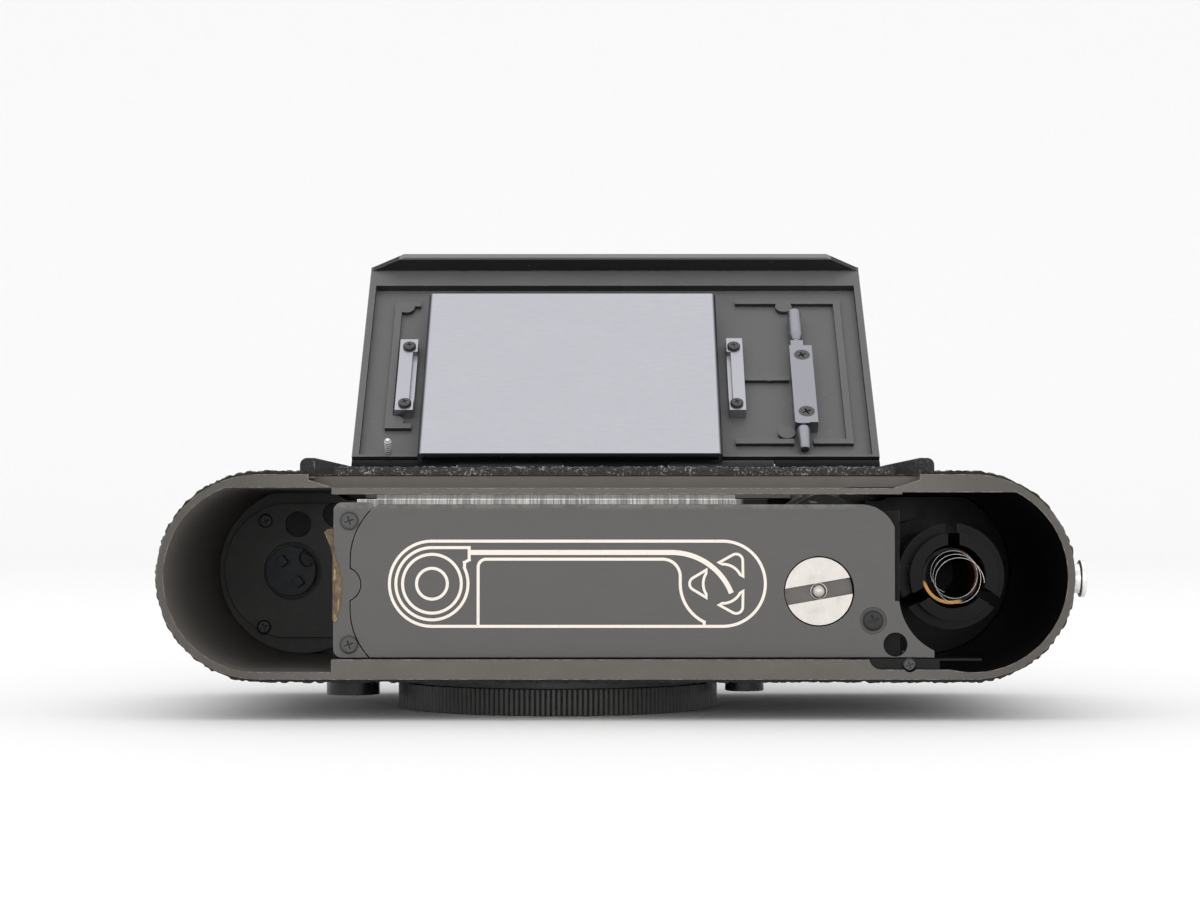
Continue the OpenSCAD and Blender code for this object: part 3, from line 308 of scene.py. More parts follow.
def covering_look():
    """Black grained covering, lighter grey on its high spots as dust and as painted sheen."""
    look = Look("covering_grain", Specular_IOR_Level=0.35)
    fine = look.noise(0.3, 4.0, 0.7)
    patch = look.noise(9.0, 3.0)
    # The grain's high spots are painted lighter grey: partly dust, partly painted sheen
    colour = look.mix(look.step(fine, 0.45, 0.8), grey(0.014), grey(0.045))
    colour = look.mix(look.step(patch, 0.5, 0.8, 0, 0.3), colour, grey(0.05))
    look.bump(look.cells(0.9), 0.1)
    look.bump(fine, 0.06)
    return look.done(Base_Color=colour, Roughness=look.step(patch, 0.3, 0.7, 0.5, 0.62))


def paint_look(name, tone, wear, rough, edge_tone=0.3, warm=0.0, grain=0.02, metal_wear=0.0, shine=0.3):
    """Paint over metal: slight mottling, fine grain, thin scratches and rubbed edges."""
    look = Look(name, Specular_IOR_Level=shine)
    blotch = look.noise(6.0, 4.0, 0.6)
    fine = look.noise(0.22, 3.0, 0.7)
    colour = look.mix(blotch, grey(tone * 0.88, warm), grey(tone * 1.12, warm))
    colour = look.mix(look.step(fine, 0.6, 0.85, 0, 0.5), colour, grey(tone * 1.7 + 0.01, warm))
    scratch = look.step(look.noise(0.5, 2.0, 0.6, (0.12, 1, 0.6)), 0.7, 0.76)
    colour = look.mix(look.both(scratch, wear), colour, grey(edge_tone * 0.7, warm))
    rubbed = look.both(look.edges(0.22), look.step(look.noise(1.4, 4.0, 0.7), 0.4, 0.62))
    rubbed = look.both(rubbed, wear)
    colour = look.mix(rubbed, colour, grey(edge_tone, metal_wear))
    look.bump(fine, grain)
    return look.done(Base_Color=colour, Roughness=look.step(blotch, 0.3, 0.7, rough - 0.05, rough + 0.05))


def brushed_look(name, tone, rough, blue):
    """Bare metal with fine lines along Y; blue tints it."""
    look = Look(name, Metallic=1.0)
    lines = look.noise(0.16, 3.0, 0.7, (1, 0.03, 1))
    broad = look.noise(7.0, 3.0, 0.5)
    low = (tone * 0.93, tone * 0.93, tone * 0.93 * (1 + blue))
    high = (tone * 1.07, tone * 1.07, tone * 1.07 * (1 + blue))
    colour = look.mix(look.average(lines, broad), low, high)
    nick = look.step(look.noise(0.8, 2.0, 0.5), 0.72, 0.78)
    colour = look.mix(look.both(nick, 0.3), colour, (tone * 0.6,) * 3)
    look.bump(lines, 0.01)
    return look.done(Base_Color=colour, Roughness=look.step(broad, 0.3, 0.7, rough - 0.04, rough + 0.04))


def plate_look():
    """Brushed plate, with painted shade, dark blue-grey, where its sides fold down."""
    look = Look("plate_brushed", Metallic=1.0)
    low, high = box_mm("pressure_plate")
    lines = look.noise(0.12, 3.0, 0.75, (0.08, 1, 1))
    wide = look.noise(0.4, 3.0, 0.7, (0.15, 1, 1))
    broad = look.noise(9.0, 3.0, 0.5)
    share = look.average(lines, wide)
    colour = look.mix(look.step(share, 0.3, 0.7), (0.42, 0.425, 0.455), (0.465, 0.47, 0.51))
    colour = look.mix(look.step(broad, 0.4, 0.8, 0, 0.25), colour, (0.49, 0.5, 0.54))
    # painted shade: the plate's edges and faces turned away from its face are painted dark blue-grey
    from_middle = look.calc("ABSOLUTE", look.along((1, 0, 0), (low + high) / 2))
    half = (high.x - low.x) / 2
    side = look.step(from_middle, half - 0.75, half - 0.25)
    painted_shade_folds = look.step(look.facing(DOOR_OUT), 0.85, 0.5)
    colour = look.mix(look.either(side, painted_shade_folds), colour, (0.035, 0.04, 0.052))
    look.bump(lines, 0.012)
    return look.done(Base_Color=colour, Roughness=look.step(broad, 0.3, 0.7, 0.34, 0.42))


def screw_look(node, direction):
    """Blacked screw heads, bare on their rims, with painted shade, near black, in the recess below the head's
    face.
    """
    look = Look(node + "_blacking", Specular_IOR_Level=0.5)
    top = reach_of(node, direction)
    level = look.along(direction)
    recess = look.step(level, top - 0.1, top - 0.2)
    haze = look.noise(0.8, 4.0, 0.7)
    colour = look.mix(haze, grey(0.03), grey(0.07))
    rubbed = look.both(look.edges(0.16), look.step(look.noise(0.5, 3.0, 0.7), 0.35, 0.55))
    colour = look.mix(look.both(rubbed, 0.8), colour, grey(0.32))
    # painted shade: the recess below the head's face is near black
    colour = look.mix(recess, colour, grey(0.003))
    look.bump(haze, 0.008)
    return look.done(Base_Color=colour, Roughness=look.step(haze, 0.3, 0.7, 0.3, 0.45))


def pin_look():
    """Pale contact pin with turned rings along its length."""
    look = Look("pin_rings", Metallic=0.3)
    rings = look.calc("SINE", look.both(look.along(DOOR_OUT), 13.0))
    haze = look.noise(0.4, 3.0)
    colour = look.mix(look.step(rings, -0.5, 0.5), grey(0.4), grey(0.88))
    look.bump(look.calc("ADD", rings, haze), 0.05)
    return look.done(Base_Color=colour, Roughness=look.step(haze, 0.3, 0.7, 0.35, 0.5))


def turned_look(name, tone, centre, rough, warm):
    """Metal turned on a lathe: fine rings round a centre, and painted shade in the slot below its face."""
    look = Look(name, Metallic=1.0)
    across = [look.along(direction, centre) for direction in ((1, 0, 0), (0, 0, 1))]
    radius = look.calc("SQRT", look.calc("ADD", *[look.calc("POWER", a, 2.0) for a in across]))
    rings = look.calc("SINE", look.both(radius, 40.0))
    broad = look.noise(2.0, 4.0, 0.6)
    low, high = grey(tone * 0.9, warm), grey(tone * 1.08, warm)
    colour = look.mix(look.step(rings, -1, 1, 0.3, 0.7), low, high)
    colour = look.mix(look.step(broad, 0.55, 0.8, 0, 0.35), colour, grey(tone * 0.6, warm))
    # painted shade: parts deeper than the face are darkened as the slot's shade
    slot = look.step(look.along((0, 1, 0)), COVER_LOW.y + 1.2, COVER_LOW.y + 1.3)
    colour = look.mix(slot, colour, grey(tone * 0.2, warm))
    look.bump(look.step(rings, -1, 1), 0.006)
    return look.done(Base_Color=colour, Roughness=look.step(broad, 0.3, 0.7, rough - 0.05, rough + 0.08))


def metal_look(name, tone, rough, warm=0.0, wear=0.3):
    """Plated or bare metal with faint haze and small marks."""
    look = Look(name, Metallic=1.0)
    haze = look.noise(1.5, 5.0, 0.65)
    marks = look.step(look.noise(0.35, 3.0, 0.6), 0.62, 0.75)
    colour = look.mix(haze, grey(tone * 0.9, warm), grey(tone * 1.06, warm))
    colour = look.mix(look.both(marks, wear), colour, grey(tone * 0.45, warm))
    look.bump(haze, 0.006)
    return look.done(Base_Color=colour, Roughness=look.step(haze, 0.3, 0.7, rough * 0.8, rough * 1.3))


def glass_look(name, tint, rough=0.02, ribs=0.0):
    """Coated glass: a dark reflective pane, or a frosted and ribbed one."""
    look = Look(name, Transmission_Weight=0.6 if ribs else 0.85, IOR=1.5, Coat_Weight=0.6)
    haze = look.noise(2.5, 3.0)
    colour = look.mix(haze, tuple(c * 0.9 for c in tint), tint)
    if ribs:
        wave = look.calc("SINE", look.both(look.along((1, 0, 0)), ribs))
        look.bump(look.step(wave, -1, 1), 0.08)
    return look.done(Base_Color=colour, Roughness=look.step(haze, 0.3, 0.7, rough, rough + 0.06))


def gate_look():
    """Polished steel with fine ribs, strongest and brightest on its lower edge as a painted highlight, and painted
    shade, near black, at its right end.
    """
    look = Look("gate_ribs", Metallic=1.0)
    ribs = look.noise(0.3, 2.0, 0.6, (1, 0.005, 0.02))
    broad = look.noise(4.0, 3.0)
    # painted highlight: the ribs on the lower edge are brighter, as lit by the light through the open back
    painted_highlight_edge = look.step(look.along((0, 1, 0)), GATE_LOW.y + 0.3, GATE_LOW.y + 0.6, 1.0, 0.25)
    light = look.mix(painted_highlight_edge, grey(0.5, 0.03), grey(0.95, 0.03))
    dark = look.mix(painted_highlight_edge, grey(0.42, 0.03), grey(0.4, 0.03))
    colour = look.mix(look.step(ribs, 0.35, 0.65), dark, light)
    # painted shade: the right end of the gate is near black
    painted_shade_right_end = look.step(look.along((1, 0, 0)), GATE_HIGH.x - 5.5, GATE_HIGH.x - 3.5)
    colour = look.mix(painted_shade_right_end, colour, grey(0.03))
    look.bump(ribs, 0.004)
    return look.done(Base_Color=colour, Roughness=look.step(broad, 0.3, 0.7, 0.28, 0.38))


def cover_look():
    """Satin grey-black cover with faint lengthwise streaks, a rubbed edge, a painted highlight along its top and
    painted shade below its face.
    """
    look = Look("cover_satin", Specular_IOR_Level=0.4)
    streak = look.noise(0.5, 4.0, 0.65, (0.05, 1, 1))
    blotch = look.noise(9.0, 4.0, 0.6)
    fine = look.noise(0.18, 2.0, 0.6)
    base = look.mix(look.average(streak, blotch), grey(0.078, 0.04), grey(0.108, 0.03))
    speck = look.step(look.noise(0.5, 3.0, 0.7), 0.70, 0.76)
    base = look.mix(look.both(speck, 0.5), base, grey(0.22, 0.02))
    # A lighter band along the top edge: painted highlight from the light above, broken up like rubbed paint
    upper = look.step(look.along((0, 0, 1)), COVER_HIGH.z - 1.0, COVER_HIGH.z - 0.2)
    rubbed = look.both(upper, look.step(look.noise(2.2, 4.0, 0.7), 0.35, 0.6))
    base = look.mix(look.both(rubbed, 0.4), base, grey(0.24, 0.02))
    edge = look.both(look.edges(0.2), look.step(look.noise(1.2, 4.0, 0.7), 0.38, 0.6))
    base = look.mix(look.both(edge, 0.7), base, grey(0.36, 0.02))
    # painted shade: everything deeper than the cover's face is painted near black
    below = look.step(look.along((0, 1, 0)), COVER_LOW.y + 0.4, COVER_LOW.y + 0.6)
    base = look.mix(below, base, grey(0.02))
    look.bump(fine, 0.015)
    return look.done(Base_Color=base, Roughness=look.step(blotch, 0.3, 0.7, 0.38, 0.48))


def door_look():
    """Grey paint inside the door, black on its lip and back, painted shade on faces turned away from its inner
    face, rubbed bright at the free edge, with a painted highlight on the lip's crest.
    """
    look = Look("door_paint_inside", Specular_IOR_Level=0.4)
    up = look.along(DOOR_UP, HINGE)
    out = look.along(DOOR_OUT, HINGE)
    top = reach_of("back_door", DOOR_UP, HINGE)
    crest_out = reach_of("back_door", DOOR_OUT, HINGE)
    lip = look.both(look.step(up, top - 1.4, top - 1.25), look.step(out, 0.9, 1.15))
    back = look.step(out, -0.8, -0.95)
    blotch = look.noise(8.0, 4.0, 0.55)
    fine = look.noise(0.2, 3.0, 0.7)
    paint = look.mix(blotch, grey(0.09), grey(0.125))
    paint = look.mix(look.step(fine, 0.6, 0.85, 0, 0.5), paint, grey(0.17))
    black = look.mix(blotch, grey(0.008), grey(0.014))
    hinge = look.step(up, 1.5, 1.2)
    # painted shade: faces turned away from the inner face, the ribs' sides among them, are painted black
    painted_shade_walls = look.step(look.facing(DOOR_OUT), 0.75, 0.35)
    painted_shade_walls = look.both(painted_shade_walls, look.step(up, top - 0.4, top - 0.6))
    colour = look.mix(look.both(painted_shade_walls, 0.9), paint, black)
    colour = look.mix(look.either(look.either(lip, back), hinge), colour, black)
    # The lip's crest is painted lighter: rubbed paint and a painted highlight from the light above
    crest = look.step(out, crest_out - 0.55, crest_out - 0.35)
    crest = look.both(crest, look.step(up, top - 1.6, top - 1.2))
    colour = look.mix(crest, colour, grey(0.19))
    worn = look.step(look.noise(1.3, 4.0, 0.75), 0.42, 0.6)
    rubbed = look.both(look.edges(0.22), worn)
    outline = look.step(up, top - 0.5, top - 0.2)
    rubbed = look.both(rubbed, look.calc("ADD", look.both(outline, 0.5), 0.5))
    colour = look.mix(look.both(rubbed, 0.75), colour, grey(0.36))
    chips = look.step(look.noise(0.9, 3.0, 0.6, shift=7.0), 0.74, 0.77)
    colour = look.mix(chips, colour, grey(0.5))
    look.bump(fine, 0.02)
    return look.done(Base_Color=colour, Roughness=look.step(blotch, 0.3, 0.7, 0.45, 0.55))


def end_plate_look():
    """Olive black end of the cartridge chamber, with painted shade, near black, on the floors of its two round
    recesses.
    """
    look = Look("end_plate_paint", Specular_IOR_Level=0.2)
    from_floor = look.along((0, 1, 0), box_mm("cartridge_end_plate")[0] + Vector((0, 0.9, 0)))
    recess = look.both(look.step(from_floor, -0.08, -0.04), look.step(from_floor, 0.08, 0.04))
    dust = look.step(look.noise(1.5, 5.0, 0.75), 0.5, 0.8)
    colour = look.mix(look.noise(4.0, 3.0), grey(0.08, 0.02), grey(0.11, 0.03))
    colour = look.mix(look.both(dust, 0.5), colour, grey(0.15, 0.04))
    # painted shade on the recess floors
    colour = look.mix(recess, colour, (0.012, 0.014, 0.012))
    look.bump(look.noise(0.3, 3.0, 0.7), 0.015)
    return look.done(Base_Color=colour, Roughness=look.step(dust, 0, 1, 0.4, 0.6))


def fork_look():
    """Glossy blue-black enamel with a faint haze, and painted shade, near black, down its hole."""
    look = Look("fork_enamel", Specular_IOR_Level=0.15)
    haze = look.step(look.noise(1.2, 5.0, 0.7), 0.45, 0.75)
    colour = look.mix(haze, (0.02, 0.026, 0.04), (0.045, 0.05, 0.064))
    # painted shade: near black deeper than 2.6 mm into the hole
    hole = look.step(look.along((0, 1, 0), box_mm("rewind_fork")[0]), 2.6, 2.7)
    colour = look.mix(hole, colour, grey(0.002))
    look.bump(look.noise(0.5, 3.0, 0.6), 0.01)
    return look.done(Base_Color=colour, Roughness=look.step(haze, 0, 1, 0.25, 0.45))


def tube_look():
    """Brass tube: orange bare metal at one side of its mouth, tarnished brown at another, near black round the
    rest, and painted shade, near black, deeper inside.
    """
    look = Look("brass_tarnish_and_painted_shade", Metallic=0.6, Specular_IOR_Level=0.4)
    # painted shade: the tube turns near black with depth
    painted_shade_deep = look.step(look.along((0, 1, 0), box_mm("spool_tube")[0]), 3, 13)
    below = look.step(look.along((-0.45, 0, -0.89), SPOOL), 2.4, 3.0)
    beside = look.step(look.along((0.96, 0, 0.28), SPOOL), 1.8, 2.8)
    blotch = look.noise(1.2, 4.0, 0.7)
    brown = look.mix(blotch, (0.05, 0.024, 0.01), (0.13, 0.06, 0.02))
    orange = look.mix(blotch, (0.5, 0.24, 0.07), (0.75, 0.4, 0.13))
    colour = look.mix(beside, grey(0.008), brown)
    colour = look.mix(below, colour, orange)
    colour = look.mix(painted_shade_deep, colour, (0.004, 0.005, 0.008))
    look.bump(blotch, 0.02)
    return look.done(Base_Color=colour, Roughness=look.step(blotch, 0.3, 0.7, 0.3, 0.5))


def cloth_look():
    """Black rubbed cloth with threads both ways."""
    look = Look("shutter_cloth", Sheen_Weight=0.1)
    along_y = look.noise(0.2, 1.0, 0.5, (1, 0.1, 1))
    along_x = look.noise(0.2, 1.0, 0.5, (0.1, 1, 1))
    weave = look.both(along_y, along_x)
    colour = look.mix(look.step(weave, 0.1, 0.4), grey(0.012), grey(0.03))
    look.bump(weave, 0.05)
    return look.done(Base_Color=colour, Roughness=look.step(weave, 0.1, 0.4, 0.7, 0.85))


def tape_look():
    """Old golden foil tape: yellow-brown varnish with dark blotches."""
    look = Look("golden_tape", Metallic=0.3)
    blotch = look.noise(1.5, 5.0, 0.7)
    fold = look.step(look.noise(0.5, 3.0, 0.6, (1, 1, 0.2)), 0.6, 0.68)
    colour = look.mix(look.step(blotch, 0.35, 0.65), (0.17, 0.11, 0.05), (0.07, 0.055, 0.04))
    colour = look.mix(fold, colour, (0.55, 0.42, 0.2))
    look.bump(blotch, 0.1)
    return look.done(Base_Color=colour, Roughness=look.step(blotch, 0.3, 0.7, 0.25, 0.45))


def print_look(name, colour):
    """Filled or printed colour, a little worn."""
    look = Look(name)
    wear = look.noise(0.6, 4.0, 0.7)
    shade = look.mix(look.step(wear, 0.55, 0.8), colour, tuple(c * 0.8 for c in colour))
    return look.done(Base_Color=shade, Roughness=look.step(wear, 0.3, 0.7, 0.42, 0.55))


# Looks by material slot
LOOKS = {
    "body_metal": shell_look(),
    "covering": covering_look(),
    "black_frame": paint_look("black_frame_paint", tone=0.01, wear=0.5, rough=0.5, edge_tone=0.12, shine=0.1),
    "gate_steel": gate_look(),
    "curtain_cloth": cloth_look(),
    "cover_black": cover_look(),
    "screw_black": paint_look(
        "screw_blacking", tone=0.028, wear=0.8, rough=0.35, edge_tone=0.25, shine=0.5
    ),
    "cream_fill": print_look("cream_line_fill", (0.88, 0.81, 0.72)),
    "top_black": paint_look(
        "top_enamel", tone=0.02, wear=0.9, rough=0.28, edge_tone=0.45, metal_wear=0.3,
        grain=0.008, shine=0.5,
    ),
    "clear_glass": glass_look("coated_glass", tint=(0.35, 0.42, 0.6)),
    "frosted_glass": glass_look("frosted_ribbed_glass", tint=(0.75, 0.78, 0.82), rough=0.3, ribs=9.0),
    "chrome": metal_look("satin_chrome", tone=0.88, rough=0.25, warm=0.02),
    "silver_metal": turned_look("turned_silver", tone=0.55, centre=DISC, rough=0.3, warm=0.06),
    "steel": metal_look("plain_steel", tone=0.6, rough=0.3),
    "brass": metal_look("bare_brass", tone=0.4, rough=0.3, warm=0.45, wear=0.6),
    "cap_plastic": paint_look(
        "cap_plastic", tone=0.036, wear=0.5, rough=0.42, edge_tone=0.12, warm=0.05, shine=0.5
    ),
    "blue_steel": brushed_look("blue_grey_steel", tone=0.3, rough=0.38, blue=0.12),
    "plate_steel": plate_look(),
    "door_paint": door_look(),
    "dial_white": print_look("dial_face", (0.8, 0.8, 0.78)),
    "gloss_black": paint_look(
        "gloss_black_enamel", tone=0.006, wear=0.4, rough=0.2, edge_tone=0.1, grain=0.004, shine=0.12
    ),
}
TAPE = tape_look()
CRACKLE = crackle_look()

# Looks of single nodes that differ from their slot's
NODE_LOOKS = {
    "cartridge_end_plate": end_plate_look(),
    "rewind_fork": fork_look(),
    "spool_tube": tube_look(),
    "lens_release_button": LOOKS["top_black"],
    "film_sprocket": paint_look("sprocket_blacking", tone=0.02, wear=0.8, rough=0.35),
    "plate_clips": brushed_look("clip_steel", tone=0.42, rough=0.36, blue=0.1),
    "cover_screws": screw_look("cover_screws", -TOP),
    "end_plate_screws": screw_look("end_plate_screws", -TOP),
    "clip_screws": screw_look("clip_screws", DOOR_OUT),
    "guide_screws": screw_look("guide_screws", DOOR_OUT),
    "contact_pin": pin_look(),
}


def look_of(node):
    """A node's own look, or its slot's."""
    return NODE_LOOKS.get(node, LOOKS[NODE_SLOT[node]])


for node, cad in frame["nodes"].items():
    cad.data.materials.clear()
    cad.data.materials.append(look_of(node))


# ---- Mesh helpers ----


def piece_from(name, verts, faces, body, look, stands_for=(), smooth=35.0):
    """A mesh piece from vertices in millimetres, smooth except at edges sharper than an angle."""
    mesh = bpy.data.meshes.new(name)
    mesh.from_pydata([tuple(c * MM for c in v) for v in verts], [], faces)
    dress(name, mesh, body, look, stands_for, smooth)


def dress(name, mesh, body, look, stands_for, smooth):
    """Makes a mesh a piece: shading, material, the body it rides on and the nodes it replaces."""
    shape = bmesh.new()
    shape.from_mesh(mesh)
    bmesh.ops.recalc_face_normals(shape, faces=shape.faces)
    for face in shape.faces:
        face.smooth = True
    for edge in shape.edges:
        if len(edge.link_faces) == 2:
            edge.smooth = edge.calc_face_angle() < math.radians(smooth)
    shape.to_mesh(mesh)
    shape.free()
    mesh.materials.clear()
    mesh.materials.append(look)
    piece = bpy.data.objects.new(name, mesh)
    bpy.context.scene.collection.objects.link(piece)
    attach(piece, body)
    if stands_for:
        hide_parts(*stands_for)


NEARLY_FLAT = math.radians(0.6)
SHARP = math.radians(38)


def finer(node, width):
    """Stands for a CAD node with the same shape and rounded edges."""
    mesh = frame["nodes"][node].data.copy()
    shape = bmesh.new()
    shape.from_mesh(mesh)
    bmesh.ops.remove_doubles(shape, verts=shape.verts, dist=2e-6)
    flat = [e for e in shape.edges if len(e.link_faces) == 2 and e.calc_face_angle() < NEARLY_FLAT]
    bmesh.ops.dissolve_limit(
        shape, angle_limit=NEARLY_FLAT, verts=shape.verts, edges=flat, delimit={"MATERIAL"}
    )
    shape.to_mesh(mesh)
    shape.free()
    holder = bpy.data.objects.new(node + "_holder", mesh)
    bpy.context.scene.collection.objects.link(holder)
    bevel = holder.modifiers.new("bevel", "BEVEL")
    bevel.width = width * MM
    bevel.segments = 2
    bevel.limit_method = "ANGLE"
    bevel.angle_limit = SHARP
    bevel.use_clamp_overlap = True
    bevel.miter_outer = "MITER_ARC"
    weighted = holder.modifiers.new("normals", "WEIGHTED_NORMAL")
    weighted.keep_sharp = True
    for face in mesh.polygons:
        face.use_smooth = True
    graph = bpy.context.evaluated_depsgraph_get()
    result = bpy.data.meshes.new_from_object(holder.evaluated_get(graph), depsgraph=graph)
    bpy.data.objects.remove(holder)
    result.name = node + "_fine"
    result.materials.clear()
    result.materials.append(look_of(node))
    piece = bpy.data.objects.new(node + "_fine", result)
    bpy.context.scene.collection.objects.link(piece)
    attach(piece, NODE_BODY[node])
    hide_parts(node)


def grid_faces(rows, columns, closed=False):
    """Faces of a grid whose vertices run row by row."""
    faces = []
    for row in range(rows - 1):
        low, high = row * columns, (row + 1) * columns
        for column in range(columns if closed else columns - 1):
            after = (column + 1) % columns
            faces.append((low + column, low + after, high + after, high + column))
    return faces


# ---- Rounded copies of the metal parts, with the width of each one's rounding ----

EDGE_WIDTH = {
    "body_shell": 0.12, "hinge_leaf": 0.12, "gear_cover": 0.1, "cover_end_strip": 0.1, "cover_screws": 0.06,
    "coupling_disc": 0.12, "cartridge_end_plate": 0.12, "end_plate_screws": 0.06, "film_gate": 0.12,
    "takeup_end_plate": 0.1, "takeup_spool": 0.15, "rewind_fork": 0.15, "back_door": 0.12,
    "plate_clips": 0.12, "clip_screws": 0.06, "pressure_plate": 0.1, "guide_bracket": 0.12,
    "guide_screws": 0.05, "upper_roller": 0.12, "lower_roller": 0.12, "contact_pin": 0.08,
    "top_plate": 0.3, "lens_mount": 0.12, "mount_screws": 0.06, "accessory_shoe": 0.12,
    "shoe_screws": 0.06, "strap_lugs": 0.2, "base_plate_stud": 0.15, "sync_sockets": 0.12,
    "advance_lever": 0.25, "release_button": 0.15, "speed_dial": 0.1, "rewind_knob": 0.1,
    "rewind_crank": 0.15, "eyepiece_ring": 0.15, "film_speed_dial": 0.12,
    "frame_selector_lever": 0.2, "rewind_release_lever": 0.15, "lens_release_button": 0.15,
    "film_sprocket": 0.08, "shutter_crate": 0.12,
}
for node, width in EDGE_WIDTH.items():
    finer(node, width)


# ---- Body covering: pebbled skin round the body, open at the back between the ridges ----

SKIN_GRID = 0.55
PEBBLE = 1.25
PEBBLE_DEPTH = 0.35
SKIN_BACK_L = LEAF_LOW.x - RIDGE_W
SKIN_BACK_R = LEAF_HIGH.x + RIDGE_W
HALF_TURN = math.pi * SKIN_R
SKIN_RUNS = (SKIN_BACK_L - LEFT_CX, HALF_TURN, RIGHT_CX - LEFT_CX, HALF_TURN, RIGHT_CX - SKIN_BACK_R)


def skin_place(run):
    """Place and outward direction at a distance along the skin, from its left rear edge."""
    if run < SKIN_RUNS[0]:
        return Vector((SKIN_BACK_L - run, 0, MID_Z + SKIN_R)), Vector((0, 0, 1))
    run -= SKIN_RUNS[0]
    if run < HALF_TURN:
        turn = math.pi / 2 + run / SKIN_R
        out = Vector((math.cos(turn), 0, math.sin(turn)))
        return Vector((LEFT_CX, 0, MID_Z)) + out * SKIN_R, out
    run -= HALF_TURN
    if run < SKIN_RUNS[2]:
        return Vector((LEFT_CX + run, 0, MID_Z - SKIN_R)), Vector((0, 0, -1))
    run -= SKIN_RUNS[2]
    if run < HALF_TURN:
        turn = math.pi * 1.5 + run / SKIN_R
        out = Vector((math.cos(turn), 0, math.sin(turn)))
        return Vector((RIGHT_CX, 0, MID_Z)) + out * SKIN_R, out
    return Vector((RIGHT_CX - run + HALF_TURN, 0, MID_Z + SKIN_R)), Vector((0, 0, 1))


def pebble(place):
    """Height of the pebbled grain at a place: 0 in the creases, 1 on the domes."""
    near = noise.voronoi(place / PEBBLE)[0]
    return min(1.0, (near[1] - near[0]) * 2.2)


def body_skin_holes():
    """Holes of the body's skin as run, Y and radius: front controls, strap lugs and the peg."""
    front = SKIN_RUNS[0] + HALF_TURN - LEFT_CX
    left = SKIN_RUNS[0] + HALF_TURN / 2
    right = left + HALF_TURN + SKIN_RUNS[2]
    selector = Vector(JOINTS["selector_swing"]["pos_m"]) / MM
    release = Vector(JOINTS["rewind_release_swing"]["pos_m"]) / MM
    button = middle_mm("lens_release_button")
    lug_y = middle_mm("strap_lugs").y
    return [
        (front, 0.0, 26.4),
        (front + selector.x, selector.y, 5.0),
        (front + release.x, release.y, 3.6),
        (front + button.x, button.y, 3.9),
        (left, lug_y, 3.1),
        (right, lug_y, 3.1),
        (right, middle_mm("base_plate_stud").y, 3.1),
    ]


def grained_skin(node, columns, rows, place_at, holes):
    """Stands for a skin node: a pebbled sheet over runs and rises, with holes and a cut edge."""
    shape = bmesh.new()
    holes = [(Vector(hole[:2]), hole[2]) for hole in holes]
    under = {}
    grid = []
    for rise in rows:
        line = []
        for run in columns:
            spot = Vector((run, rise))
            for centre, radius in holes:
                away = spot - centre
                if abs(away.length - radius) < SKIN_GRID * 0.75:
                    spot = centre + away.normalized() * radius
            place, out = place_at(*spot)
            vert = shape.verts.new((place - out * PEBBLE_DEPTH * (1 - pebble(place))) * MM)
            under[vert] = (place - out * (SKIN_T - 0.05)) * MM
            line.append((vert, spot))
        grid.append(line)
    for low, high in zip(grid, grid[1:]):
        for corners in zip(low, low[1:], high[1:], high):
            middle = sum((spot for _, spot in corners), Vector((0, 0))) / 4
            if all((middle - centre).length > radius for centre, radius in holes):
                shape.faces.new([vert for vert, _ in corners])
    rim = [edge for edge in shape.edges if len(edge.link_faces) == 1]
    foot = {vert: shape.verts.new(under[vert]) for edge in rim for vert in edge.verts}
    for edge in rim:
        a, b = edge.verts
        shape.faces.new((a, b, foot[b], foot[a]))
    loose = [vert for vert in shape.verts if not vert.link_faces]
    bmesh.ops.delete(shape, geom=loose, context="VERTS")
    mesh = bpy.data.meshes.new(node + "_grain")
    shape.to_mesh(mesh)
    shape.free()
    dress(node + "_grain", mesh, NODE_BODY[node], look_of(node), (node,), 60.0)


def spread(low, high, pitch):
    """Evenly spaced values from low to high, about a pitch apart."""
    return list(np.linspace(low, high, round((high - low) / pitch) + 1))


def body_skin_place(run, rise):
    """A place on the body at a rise, its Y; the skin's lower edge is cut unevenly."""
    place, out = skin_place(run)
    ragged = 0.35 * noise.noise(Vector((run / 1.7, 0, 0)))
    place.y = rise + ragged * max(0.0, 1 - (rise - SKIN_LOW.y) / 1.5)
    return place, out


grained_skin(
    "body_covering", spread(0, sum(SKIN_RUNS), SKIN_GRID), spread(SKIN_LOW.y, SKIN_HIGH.y, SKIN_GRID),
    body_skin_place, body_skin_holes(),
)


# ---- Door covering: the same skin on the door's back ----

DOOR_SKIN = [v.co / MM for v in frame["nodes"]["door_covering"].data.vertices]
DOOR_SKIN_UP = [(v - HINGE).dot(DOOR_UP) for v in DOOR_SKIN]
DOOR_SKIN_OUT = min((v - HINGE).dot(DOOR_OUT) for v in DOOR_SKIN)
DIAL_AT = Vector(JOINTS["film_speed_turn"]["pos_m"]) / MM
DIAL_HOLE_R = 12.9


def door_skin_place(run, rise):
    """A place on the door's back, and the direction out of it."""
    return on_door(run, rise, DOOR_SKIN_OUT), -DOOR_OUT


grained_skin(
    "door_covering",
    spread(min(v.x for v in DOOR_SKIN), max(v.x for v in DOOR_SKIN), SKIN_GRID),
    spread(min(DOOR_SKIN_UP), max(DOOR_SKIN_UP), SKIN_GRID),
    door_skin_place, [(DIAL_AT.x, (DIAL_AT - HINGE).dot(DOOR_UP), DIAL_HOLE_R)],
)


# ---- Body cap: ribbed grip, bright ring, throat and bayonet tabs ----

CAP_RIBS = 198
CAP_HIGH = box_mm("body_cap")[1]
CAP_R = CAP_HIGH.x
CAP_GRIP = 4.2
CAP_CUT = 0.3
TAB_TURN = 16
TAB_STEPS = 9


